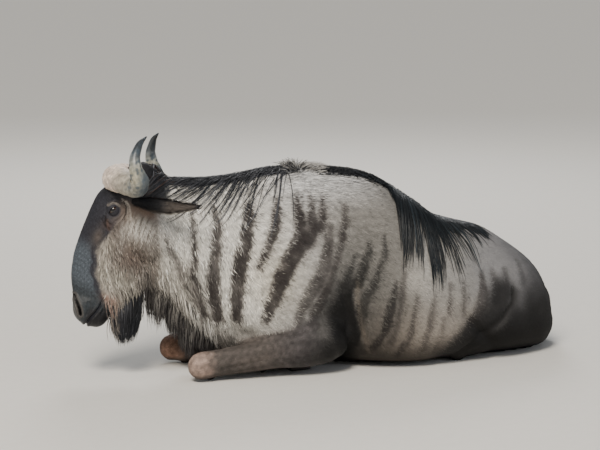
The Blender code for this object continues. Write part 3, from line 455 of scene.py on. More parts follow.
for stations, slim in [(throat, 1.0), (DOCK, 1.0), (UPPER_ARM, 0.75), (mirrored(UPPER_ARM), 0.75)]:
    add_loft(forms, limb_rings(stations, slim))
for _, stations, slim in LEGS:
    add_loft(forms, limb_rings(stations, slim))
bmesh.ops.recalc_face_normals(forms, faces=forms.faces)
form = linked("forms", finished_mesh(forms, "forms"))
remesh = form.modifiers.new("one_surface", "REMESH")
remesh.mode = "VOXEL"
remesh.voxel_size = SKIN_VOXEL
blend = form.modifiers.new("blend", "SMOOTH")
blend.factor = BLEND_FACTOR
blend.iterations = BLEND_ROUNDS
graph = bpy.context.evaluated_depsgraph_get()
skin_mesh = bpy.data.meshes.new_from_object(form.evaluated_get(graph))
skin_mesh.name = "skin"
bpy.data.objects.remove(form)

# Muscles, hollows and folds. Each relief is a side (0 for both), a centre, its reach along x, y and z,
# the lean of its x axis towards z in degrees, and how far it stands out. Each fold is a side, a width, a
# depth and points of (x, z) on the flank, pressed in along a line, with a low lip beside it.
RELIEFS = (
    (0, (-0.205, 0.165, 0.430), (0.085, 0.12, 0.19), -22.0, 0.012),
    (0, (-0.390, 0.150, 0.360), (0.050, 0.12, 0.17), -22.0, -0.008),
    (0, (-0.175, 0.205, 0.190), (0.130, 0.10, 0.09), -35.0, 0.012),
    (0, (0.010, 0.215, 0.170), (0.045, 0.12, 0.17), -12.0, -0.016),
    (0, (0.130, 0.240, 0.130), (0.110, 0.12, 0.12), 0.0, 0.010),
    (0, (0.230, 0.240, 0.045), (0.170, 0.10, 0.070), 0.0, 0.016),
    (-1, (0.690, 0.215, 0.305), (0.050, 0.08, 0.045), 0.0, 0.012),
    (1, (0.650, 0.200, 0.330), (0.060, 0.08, 0.050), 0.0, 0.010),
    (0, (0.540, 0.220, 0.330), (0.070, 0.10, 0.060), 0.0, -0.012),
    (-1, (0.500, 0.235, 0.105), (0.018, 0.09, 0.110), 48.0, -0.016),
    (-1, (0.600, 0.235, 0.125), (0.075, 0.09, 0.080), 48.0, 0.007),
    (0, (-0.275, 0.190, 0.300), (0.012, 0.08, 0.100), -30.0, -0.004),
    (0, (-0.060, 0.215, 0.330), (0.016, 0.09, 0.140), -30.0, -0.003),
)
THIGH_CREASE = (
    (0.416, 0.035), (0.455, 0.067), (0.494, 0.100), (0.536, 0.130), (0.568, 0.153), (0.591, 0.180),
    (0.615, 0.207), (0.618, 0.254),
)
FOLDS = (
    (-1, 0.012, 0.0055, THIGH_CREASE),
    (1, 0.012, 0.008, ((0.40, 0.30), (0.44, 0.33), (0.50, 0.345))),
    (0, 0.010, 0.006, ((-0.02, 0.31), (0.0, 0.24), (0.02, 0.16), (0.03, 0.08))),
    (0, 0.008, 0.005, ((0.045, 0.26), (0.058, 0.19), (0.060, 0.12), (0.055, 0.06))),
    (0, 0.006, 0.004, ((-0.235, 0.150), (-0.205, 0.135), (-0.170, 0.140))),
    (0, 0.006, 0.004, ((-0.225, 0.132), (-0.195, 0.118), (-0.160, 0.124))),
    (0, 0.007, 0.004, ((-0.430, 0.042), (-0.360, 0.052), (-0.270, 0.074))),
    (0, 0.006, 0.003, ((-0.452, 0.090), (-0.445, 0.060), (-0.452, 0.030))),
    (0, 0.014, 0.004, ((-0.497, 0.55), (-0.500, 0.42), (-0.480, 0.27))),
    (0, 0.014, 0.004, ((-0.420, 0.56), (-0.438, 0.40), (-0.428, 0.24))),
    (0, 0.014, 0.003, ((-0.555, 0.50), (-0.552, 0.42), (-0.520, 0.32))),
    (0, 0.016, 0.003, ((0.30, 0.10), (0.33, 0.05), (0.40, 0.02))),
)
FOLD_LIP_SHARE = 0.15
FOLD_LIP_AT = 2.2
RESTING_BELOW = 0.004
BODY_COAT_DEPTH = 0.0055
NECK_COAT_DEPTH = 0.009
SHORT_COAT_DEPTH = 0.002


def coordinates(mesh):
    points = np.empty(len(mesh.vertices) * 3)
    mesh.vertices.foreach_get("co", points)
    return points.reshape(-1, 3)


def outward(mesh):
    found = np.empty(len(mesh.vertices) * 3)
    mesh.vertex_normals.foreach_get("vector", found)
    return found.reshape(-1, 3)


def move_to(mesh, points):
    mesh.vertices.foreach_set("co", np.asarray(points, float).ravel())
    mesh.update()


def line_distance(points, knots):
    """Distance in a plane from each point to a broken line, and how far along it, in knots."""
    knots = np.asarray(knots, float)
    nearest = np.full(len(points), 9.0)
    where = np.zeros(len(points))
    for i, (start, end) in enumerate(zip(knots[:, :2], knots[1:, :2])):
        span = end - start
        share = np.clip((points - start) @ span / (span @ span), 0, 1)
        gap = np.linalg.norm(points - start - share[:, None] * span, axis=1)
        closer = gap < nearest
        nearest[closer] = gap[closer]
        where[closer] = i + share[closer]
    return nearest, where


def bell(gap, width):
    """1 where the gap is nought, fading to nothing over about twice the width."""
    return np.exp(-(gap / width) ** 2)


def on_legs(points):
    """How near each point is to a lower leg, 0 to 1, and the way towards the hoof there."""
    nearness = np.zeros(len(points))
    ways = np.zeros((len(points), 3))
    for part, stations, _ in LEGS:
        if part == "thigh":
            continue
        table = along(stations, per_span=3)
        for start, end in zip(table, table[1:]):
            span = end[:3] - start[:3]
            share = np.clip((points - start[:3]) @ span / (span @ span), 0, 1)
            gap = np.linalg.norm(points - start[:3] - share[:, None] * span, axis=1)
            radius = start[3] + share * (end[3] - start[3])
            found = ramp(gap / radius, 1.5, 1.08)
            if part == "forearm":
                found = found * ramp(points[:, 0], -0.06, -0.16)
            closer = found > nearness
            nearness[closer] = found[closer]
            ways[closer] = unit(span)
    return nearness, ways


def headness(points):
    """1 on the head, 0 behind it, changing over at the back of the jaw."""
    return ramp(points[:, 0], -0.590, -0.630)


def sides_of(only_side):
    """The one side of a relief or a fold, or both for 0."""
    return (only_side,) if only_side else (-1, 1)


points = coordinates(skin_mesh)
ways_out = outward(skin_mesh)
moved = np.zeros(len(points))
for only_side, centre, reach, lean, height in RELIEFS:
    for side in sides_of(only_side):
        offset = points - np.array([centre[0], centre[1] * side, centre[2]])
        lean_angle = math.radians(lean)
        level = offset[:, 0] * math.cos(lean_angle) + offset[:, 2] * math.sin(lean_angle)
        raised = -offset[:, 0] * math.sin(lean_angle) + offset[:, 2] * math.cos(lean_angle)
        far = (level / reach[0]) ** 2 + (offset[:, 1] / reach[1]) ** 2 + (raised / reach[2]) ** 2
        moved += height * np.exp(-far)
for only_side, width, fold_depth, knots in FOLDS:
    for side in sides_of(only_side):
        gap, where = line_distance(points[:, [0, 2]], knots)
        facing = ramp(points[:, 1] * side, 0.06, 0.12) * ramp(np.abs(ways_out[:, 1]), 0.1, 0.4)
        fade = ramp(where, -0.4, 0.5) * ramp(len(knots) - 1 - where, -0.4, 0.5)
        moved -= fold_depth * bell(gap, width) * facing * fade
        moved += FOLD_LIP_SHARE * fold_depth * bell(gap - FOLD_LIP_AT * width, width) * facing * fade
leg_share, _ = on_legs(points)
s, o, h = in_head(points)
neck_share = ramp(points[:, 0], -0.20, -0.42)
depth = BODY_COAT_DEPTH + (NECK_COAT_DEPTH - BODY_COAT_DEPTH) * neck_share
depth += (SHORT_COAT_DEPTH - depth) * leg_share
on_face = headness(points) * np.maximum(ramp(h, -0.06, 0.0), ramp(s, 0.36, 0.42))
depth += (SHORT_COAT_DEPTH - depth) * on_face
depth += (SHORT_COAT_DEPTH - depth) * ramp(points[:, 0], 0.70, 0.80)
rests = points[:, 2] < RESTING_BELOW
points = points + ways_out * (moved - depth)[:, None]
points[:, 2] = np.where(rests, 0.0, np.maximum(points[:, 2], 0.0))
move_to(skin_mesh, points)

# The head's skin, with finer faces: brow, lids, tear gland, nostrils, lips and the step where the long
# hair of the cheek meets the short hair of the face. Places are (down the face, forward) from the crown,
# swells (place, reach, height) and folds (line, width, depth).
FINE_FROM_X = -0.600
FINER_FROM_X = -0.640
MUZZLE_FROM = 0.415
FINER_ROUND_EYE = 0.046
FINEST_ROUND_EYE = 0.028
EYE_PLACE = np.array([0.134, 0.0775, 0.024])
EYE_RADIUS = 0.0195
LID_THICKNESS = 0.0026
EYE_AXIS = unit((-0.04, 1.0, 0.12))
EYE_SLIT_WAY = (-0.92, -0.39)
EYE_SLIT_HALF = 0.0165
EYE_SLIT_UPPER = 0.0062
EYE_SLIT_LOWER = 0.0066
LID_REACH = 0.034
LID_FULL_WITHIN = 0.024
LID_CREASE_AT = 0.0195
LID_CREASE_DEPTH = 0.0018
LID_EDGE_HEIGHT = 0.0010
BALL_SUNK = 0.0035
FACE_FOLD_LIP_SHARE = 0.4
FACE_FOLD_LIP_AT = 2.1
NOSTRIL = ((0.452, 0.044), (0.462, 0.034), (0.474, 0.020), (0.486, 0.008), (0.500, 0.000))
MOUTH = ((0.432, -0.052), (0.455, -0.050), (0.480, -0.044), (0.505, -0.034), (0.535, -0.026))
CHEEK_EDGE = (
    (0.176, 0.030), (0.2108, 0.0252), (0.2678, 0.0202), (0.2874, 0.0241), (0.3221, 0.0074), (0.3583, -0.0042),
    (0.3819, -0.0254), (0.4063, -0.0413), (0.425, -0.062),
)
FACE_SWELLS = (
    ((0.232, 0.038), (0.032, 0.016), 0.0045), ((0.232, 0.038), (0.007, 0.005), -0.0050),
    ((0.105, 0.050), (0.030, 0.014), 0.0050), ((0.172, 0.002), (0.026, 0.012), 0.0035),
    ((0.150, -0.010), (0.030, 0.012), 0.0030), ((0.470, 0.005), (0.030, 0.030), 0.0040),
    ((0.290, -0.070), (0.080, 0.060), 0.0050), ((0.435, 0.010), (0.020, 0.025), -0.0030),
    ((0.500, -0.060), (0.020, 0.016), 0.0030),
)
FACE_FOLDS = (
    (((0.165, 0.044), (0.178, 0.030), (0.182, 0.010)), 0.0035, 0.0032),
    (((0.176, 0.050), (0.192, 0.034), (0.197, 0.012)), 0.0040, 0.0028),
    (((0.106, 0.026), (0.098, 0.006), (0.106, -0.014)), 0.0035, 0.0026),
    (((0.112, 0.046), (0.094, 0.030), (0.086, 0.008)), 0.0040, 0.0026),
    (((0.128, -0.012), (0.146, -0.008), (0.162, 0.002)), 0.0035, 0.0026),
    (((0.440, 0.030), (0.436, 0.0), (0.432, -0.03)), 0.0080, 0.0006),
    (((0.455, -0.012), (0.470, -0.020), (0.492, -0.020)), 0.0040, 0.0018),
    (((0.415, -0.070), (0.440, -0.068), (0.470, -0.064)), 0.0040, 0.0020),
)


def off_eye(s, h):
    """How far places on the head are from the middle of the eye, as seen from the side."""
    return np.hypot(s - EYE_PLACE[0], h - EYE_PLACE[2])


def finer(mesh, chosen):
    """Splits the faces whose corners are all chosen into four, and eases the new points."""
    bm = bmesh.new()
    bm.from_mesh(mesh)
    bm.verts.ensure_lookup_table()
    edges = [edge for edge in bm.edges if chosen[edge.verts[0].index] and chosen[edge.verts[1].index]]
    made = bmesh.ops.subdivide_edges(bm, edges=edges, cuts=1, use_grid_fill=True)
    inner = {item for item in made["geom_inner"] if isinstance(item, bmesh.types.BMVert)}
    around = {other.other_vert(vert) for vert in inner for other in vert.link_edges}
    for _ in range(2):
        bmesh.ops.smooth_vert(
            bm, verts=list(inner | around), factor=0.4, use_axis_x=True, use_axis_y=True, use_axis_z=True
        )
    bmesh.ops.triangulate(bm, faces=[face for face in bm.faces if len(face.verts) > 4])
    bm.to_mesh(mesh)
    bm.free()


s, o, h = in_head(points)
finer(skin_mesh, (points[:, 0] < FINE_FROM_X) & (s > -0.02))
points = coordinates(skin_mesh)
s, o, h = in_head(points)
muzzle = (s > MUZZLE_FROM) & (h > -0.075)
round_eye = (off_eye(s, h) < FINER_ROUND_EYE) & (np.abs(o) > 0.045)
finer(skin_mesh, (points[:, 0] < FINER_FROM_X) & (muzzle | round_eye))
points = coordinates(skin_mesh)
s, o, h = in_head(points)
round_eye = (off_eye(s, h) < FINEST_ROUND_EYE) & (np.abs(o) > 0.060)
finer(skin_mesh, (points[:, 0] < FINER_FROM_X) & round_eye)

points = coordinates(skin_mesh)
ways_out = outward(skin_mesh)
s, o, h = in_head(points)
front_share = headness(points)
on_cheek_side = front_share * ramp(np.abs(ways_out @ FACE_LEFT), 0.15, 0.45)
flat_places = np.stack([s, h], -1)
moved = np.zeros(len(points))
for centre, reach, height in FACE_SWELLS:
    far = ((s - centre[0]) / reach[0]) ** 2 + ((h - centre[1]) / reach[1]) ** 2
    moved += height * np.exp(-far) * on_cheek_side
for knots, width, fold_depth in FACE_FOLDS:
    gap, _ = line_distance(flat_places, knots)
    moved -= fold_depth * bell(gap, width) * on_cheek_side
    moved += FACE_FOLD_LIP_SHARE * fold_depth * bell(gap - FACE_FOLD_LIP_AT * width, width) * on_cheek_side

# The step at the cheek's edge, the nostrils and the mouth, each cut in and raised beside the cut.
gap, _ = line_distance(flat_places, CHEEK_EDGE)
cheek_edge_height = smooth_curve(CHEEK_EDGE)
behind = np.where(h < cheek_edge_height(s), 1.0, 0.0)
moved += 0.0030 * bell(gap - 0.007, 0.006) * behind * on_cheek_side
moved -= 0.0026 * bell(gap, 0.0045) * on_cheek_side
gap, where = line_distance(flat_places, NOSTRIL)
pit = 0.0042 + 0.0022 * np.sin(np.clip(where / (len(NOSTRIL) - 1), 0, 1) * math.pi)
off_middle = ramp(np.abs(o), 0.010, 0.022)
moved -= 0.013 * ramp(gap, pit * 1.25, pit * 0.45) * front_share * off_middle
moved += 0.0030 * bell(gap - 0.0105, 0.0045) * front_share * off_middle
gap, _ = line_distance(flat_places, MOUTH)
round_lips = np.maximum(ramp(s, 0.50, 0.52), ramp(np.abs(o), 0.010, 0.030)) * front_share
moved -= 0.0065 * bell(gap, 0.0034) * round_lips * ramp(s, 0.425, 0.440)
moved += 0.0028 * bell(gap - 0.0085, 0.0050) * round_lips * ramp(s, 0.425, 0.445)
points = points + ways_out * moved[:, None]

# Lids that stand over the eyeball, open at a slanting almond slit.
s, o, h = in_head(points)
slit_way = unit(np.array([EYE_SLIT_WAY[0], 0.0, EYE_SLIT_WAY[1]]))
slit_way = unit(slit_way - (slit_way @ EYE_AXIS) * EYE_AXIS)
lid_way = np.cross(slit_way, EYE_AXIS)
lid_way = lid_way if lid_way[2] > 0 else -lid_way
lid_radius = EYE_RADIUS + LID_THICKNESS
for side in (-1, 1):
    offset = np.stack([s, o * side, h], -1) - EYE_PLACE
    stands = offset @ EYE_AXIS
    along_slit = offset @ slit_way
    over_slit = offset @ lid_way
    reach = np.hypot(along_slit, over_slit)
    here = (stands > 0.0) & (reach < LID_REACH) & (points[:, 0] < FINE_FROM_X)
    dome = np.sqrt(np.maximum(lid_radius ** 2 - reach ** 2, 0.0))
    lifted = np.maximum(stands - 0.0012, dome) + 0.0016 * bell(stands - dome, 0.004)
    lifted = lifted - LID_CREASE_DEPTH * bell(reach - LID_CREASE_AT, 0.0028)
    share = ramp(reach, LID_REACH, LID_FULL_WITHIN)
    height = stands + (lifted - stands) * share
    almond = np.where(over_slit > 0, EYE_SLIT_UPPER, EYE_SLIT_LOWER)
    edge = 1 - (np.abs(along_slit) / EYE_SLIT_HALF) ** 2
    inside = np.abs(over_slit) - almond * np.maximum(edge, 0.0)
    opened = ramp(inside, 0.0006, -0.0010) * (edge > 0)
    rim = LID_EDGE_HEIGHT * bell(inside - 0.0016, 0.0014) * (edge > -0.3)
    ball = np.sqrt(np.maximum((EYE_RADIUS - BALL_SUNK) ** 2 - reach ** 2, 0.0))
    height = height + rim * share
    height = height + (ball - height) * opened
    change = np.where(here, height - stands, 0.0)
    outward_way = np.array([EYE_AXIS[0], EYE_AXIS[1] * side, EYE_AXIS[2]]) @ HEAD_AXES
    points = points + outward_way * change[:, None]
move_to(skin_mesh, points)

# Markings. The coat runs from light grey on neck and hump to slate on the rump, with dark brindle
# stripes across neck, shoulder and flank. The face is black, the cheek pale, the muzzle slate. Skin and
# hair take the same colour from one rule of place, which also paints light on the top of the back, shade
# into hollows, creases and undersides, and highlights on folds and rims. Tones are (x, colour), stripes
# (strength, (x, z, width) knots), patches of the head (colour, strength, place, reach) and its lines of
# painted crease shade and highlight (colour, width, line).
BODY_TONES = (
    (-0.62, "#BFBCB5"), (-0.40, "#CAC7C0"), (-0.16, "#B4B1AC"), (-0.02, "#8E8B86"), (0.10, "#75726D"),
    (0.20, "#74716C"), (0.30, "#96938E"), (0.42, "#888683"), (0.52, "#7E7D7D"), (0.62, "#727172"),
    (0.74, "#565556"), (0.85, "#3E3D3D"),
)
STRIPES = (
    (0.6, ((-0.595, 0.49, 0.012), (-0.58, 0.45, 0.013), (-0.553, 0.4, 0.014), (-0.53, 0.35, 0.015),
        (-0.515, 0.31, 0.015), (-0.49, 0.26, 0.012))),
    (0.9, ((-0.497, 0.57, 0.008), (-0.497, 0.45, 0.012), (-0.5, 0.4, 0.015), (-0.502, 0.35, 0.018),
        (-0.49, 0.3, 0.02), (-0.472, 0.25, 0.018), (-0.455, 0.21, 0.014))),
    (0.9, ((-0.42, 0.575, 0.012), (-0.417, 0.52, 0.018), (-0.425, 0.46, 0.024), (-0.437, 0.4, 0.028),
        (-0.44, 0.35, 0.028), (-0.438, 0.3, 0.027), (-0.43, 0.25, 0.025), (-0.418, 0.2, 0.024))),
    (1.0, ((-0.305, 0.57, 0.022), (-0.312, 0.53, 0.026), (-0.322, 0.49, 0.03), (-0.337, 0.44, 0.034),
        (-0.348, 0.4, 0.033), (-0.358, 0.36, 0.031), (-0.368, 0.31, 0.028), (-0.373, 0.26, 0.026),
        (-0.368, 0.21, 0.022))),
    (1.0, ((-0.206, 0.595, 0.009), (-0.217, 0.55, 0.024), (-0.226, 0.51, 0.025), (-0.243, 0.475, 0.023),
        (-0.262, 0.44, 0.02), (-0.28, 0.41, 0.016), (-0.297, 0.375, 0.012))),
    (1.0, ((-0.14, 0.615, 0.008), (-0.141, 0.57, 0.024), (-0.138, 0.51, 0.032), (-0.145, 0.465, 0.04),
        (-0.17, 0.42, 0.045), (-0.197, 0.385, 0.044), (-0.217, 0.35, 0.04), (-0.232, 0.31, 0.036),
        (-0.248, 0.275, 0.034), (-0.265, 0.245, 0.03), (-0.28, 0.205, 0.024))),
    (0.9, ((-0.086, 0.605, 0.006), (-0.09, 0.55, 0.02), (-0.098, 0.5, 0.03), (-0.11, 0.465, 0.035),
        (-0.13, 0.435, 0.02))),
    (0.9, ((-0.043, 0.605, 0.005), (-0.048, 0.565, 0.016), (-0.057, 0.525, 0.02), (-0.07, 0.49, 0.02))),
    (0.7, ((-0.035, 0.49, 0.02), (-0.048, 0.44, 0.026), (-0.06, 0.39, 0.03), (-0.078, 0.34, 0.036),
        (-0.105, 0.3, 0.034), (-0.135, 0.265, 0.03), (-0.158, 0.225, 0.024), (-0.17, 0.19, 0.02))),
    (0.8, ((0.028, 0.555, 0.014), (0.022, 0.52, 0.018), (0.008, 0.47, 0.018), (-0.004, 0.43, 0.014),
        (-0.018, 0.39, 0.015), (-0.038, 0.345, 0.018), (-0.058, 0.3, 0.022), (-0.08, 0.26, 0.026),
        (-0.102, 0.22, 0.028), (-0.118, 0.18, 0.028))),
    (0.8, ((0.045, 0.4, 0.008), (0.03, 0.37, 0.014), (0.012, 0.335, 0.018), (0.0, 0.3, 0.024))),
    (0.9, ((0.095, 0.445, 0.008), (0.09, 0.405, 0.016), (0.073, 0.375, 0.02), (0.06, 0.335, 0.022),
        (0.045, 0.3, 0.022))),
    (0.85, ((0.15, 0.455, 0.007), (0.145, 0.405, 0.011), (0.125, 0.36, 0.013), (0.11, 0.325, 0.014),
        (0.095, 0.295, 0.018), (0.075, 0.265, 0.022), (0.06, 0.225, 0.022), (0.055, 0.18, 0.022),
        (0.05, 0.13, 0.02))),
    (0.9, ((0.172, 0.305, 0.01), (0.165, 0.26, 0.018), (0.15, 0.22, 0.022), (0.145, 0.185, 0.022),
        (0.135, 0.14, 0.02), (0.11, 0.1, 0.018), (0.09, 0.06, 0.014))),
    (0.7, ((0.245, 0.255, 0.006), (0.24, 0.22, 0.008), (0.228, 0.16, 0.01), (0.22, 0.12, 0.016),
        (0.2, 0.085, 0.018), (0.185, 0.05, 0.014))),
    (0.6, ((0.205, 0.37, 0.006), (0.2, 0.3, 0.012), (0.19, 0.24, 0.014), (0.175, 0.17, 0.014),
        (0.155, 0.1, 0.014))),
    (0.55, ((0.315, 0.26, 0.006), (0.3, 0.2, 0.014), (0.288, 0.14, 0.018), (0.268, 0.07, 0.018))),
    (0.35, ((0.345, 0.17, 0.01), (0.335, 0.11, 0.018), (0.315, 0.05, 0.018))),
    (0.6, ((0.37, 0.29, 0.008), (0.368, 0.24, 0.012), (0.366, 0.18, 0.008))),
    (0.55, ((0.425, 0.29, 0.008), (0.424, 0.235, 0.012), (0.42, 0.18, 0.008))),
    (0.7, ((0.505, 0.31, 0.012), (0.502, 0.26, 0.026), (0.495, 0.21, 0.036), (0.47, 0.165, 0.03),
        (0.435, 0.12, 0.016))),
    (0.5, ((0.55, 0.32, 0.01), (0.552, 0.27, 0.02), (0.548, 0.22, 0.026))),
    (0.45, ((0.6, 0.32, 0.01), (0.598, 0.27, 0.016))),
    (0.4, ((0.66, 0.345, 0.008), (0.662, 0.27, 0.016))),
)
STRIPE_BROWN = "#2B2625"
STRIPE_SOFTNESS = 0.0075
STRIPE_SPREAD = 1.42
FAR_STRIPE_SHIFT = 0.022
HUMP_PALE_AND_LIT = "#BDBCBB"
LOW_FLANK_AND_FOLD_GLINT = "#83776A"
GROUND_SHADE = "#272320"
FLANK_SHADE = (
    (0.575, 0.245), (0.560, 0.210), (0.545, 0.175), (0.505, 0.138), (0.455, 0.100), (0.405, 0.060),
    (0.375, 0.020),
)
BEHIND_JAW = ((-0.621, 0.447), (-0.622, 0.362), (-0.624, 0.273))
THIGH_DARK_AND_SHADE = "#1F1E1E"
ELBOW_SHADE = "#121111"
MANE_BLACK = "#18191C"
FACE_BLACK = "#2D2D33"
NOSE_SLATE = "#5A646C"
MUZZLE_SLATE = "#2B2F32"
LIP_GREY_AND_RIM_HIGHLIGHT = "#55504C"
CHEEK_PALE = "#78736D"
CHEEK_WHITE = "#D2CEC6"
CHEEK_CREAM = "#AFA89B"
CHEEK_BROWN = "#5C5049"
THROAT_GREY = "#A09A90"
GLAND_BROWN = "#5A524D"
TEAR_RUST = "#54403A"
EAR_TAN = "#7E6A5D"
MOUTH_RUST = "#7A5347"
LEG_BROWN = "#4F4945"
KNEE_RUST = "#9A857A"
ELBOW_GREY = "#454141"
PASTERN_DARK = "#352E2A"
SHOULDER_CREAM = "#BDB39C"
FLANK_PALE = "#B9B4AC"
THIGH_UNDERSIDE_SHADE = "#0F0E0E"
CREASE_SHADE = "#161514"
CREASE_GLINT = "#7C7977"
FAR_KNEE_RUST = "#71503F"
STRAND_DARK = "#5E5650"
STRAND_PALE = "#D6D2CA"
JAW_PALE = "#A5A195"
TEMPLE_TAN = "#77675C"
EYE_CORNER = "#5C534E"
LOWER_LIP = "#1D1C1E"
NOSTRIL_SHADE = "#0E0D0E"
BROW_TAN = "#6E6259"
CHEEK_PATCHES = (
    (CHEEK_BROWN, 0.85, (0.255, -0.085), (0.050, 0.050)),
    (CHEEK_BROWN, 0.40, (0.200, -0.005), (0.030, 0.014)),
    (JAW_PALE, 0.70, (0.345, -0.080), (0.035, 0.070)),
)
TEMPLE_PATCHES = (
    (TEMPLE_TAN, 0.70, (0.118, -0.022), (0.026, 0.030)),
    (EYE_CORNER, 0.65, (0.160, 0.0), (0.022, 0.026)),
    (EAR_TAN, 0.85, (0.100, -0.080), (0.016, 0.050)),
)
EYE_CREASE_SHADE_AND_HIGHLIGHTS = (
    ("#7D766F", 0.0075, ((0.124, 0.046), (0.113, 0.038), (0.108, 0.026), (0.112, 0.012))),
    ("#2A2728", 0.0022, ((0.118, 0.046), (0.108, 0.038), (0.104, 0.026), (0.106, 0.010))),
    ("#9C948C", 0.0040, ((0.088, 0.012), (0.094, -0.004), (0.112, -0.018), (0.140, -0.028))),
    ("#B3ABA1", 0.0045, ((0.090, -0.004), (0.102, -0.020), (0.122, -0.032), (0.142, -0.040))),
    ("#1E1B1B", 0.0030, ((0.094, 0.004), (0.106, -0.010), (0.128, -0.018), (0.150, -0.016))),
    ("#4E3F39", 0.0060, ((0.170, 0.030), (0.186, 0.024), (0.200, 0.012))),
    ("#241F1F", 0.0040, ((0.160, 0.040), (0.178, 0.036), (0.196, 0.026))),
)


def tone_curve(knots):
    """A colour, in sRGB shares, that changes smoothly through (place, hex colour) knots."""
    shares = [hex_shares(colour) for _, colour in knots]
    places = [place for place, _ in knots]
    curves = [smooth_curve(list(zip(places, [share[i] for share in shares]))) for i in range(3)]
    return lambda value: np.stack([curve(value) for curve in curves], -1)


def stained(colours, colour, amount):
    """The colours mixed with one more, by an amount for each."""
    target = np.array(hex_shares(colour))
    amount = np.broadcast_to(amount, len(colours))[:, None]
    return colours * (1 - amount) + target * amount


def mottled(points, size, seed):
    """An uneven value from -1 to 1 that changes over about the given size."""
    waves = np.random.default_rng(seed)
    total = np.zeros(len(points))
    for _ in range(7):
        way = unit(waves.normal(size=3)) * 2 * math.pi / size * waves.uniform(0.6, 1.5)
        total += np.sin(points @ way + waves.uniform(0, 2 * math.pi))
    return np.clip(total / 3.5, -1, 1)


def spot(across, along_it, reach_across, reach_along):
    return np.exp(-(across / reach_across) ** 2 - (along_it / reach_along) ** 2)


body_tone = tone_curve(BODY_TONES)
crease_height = smooth_curve(THIGH_CREASE)


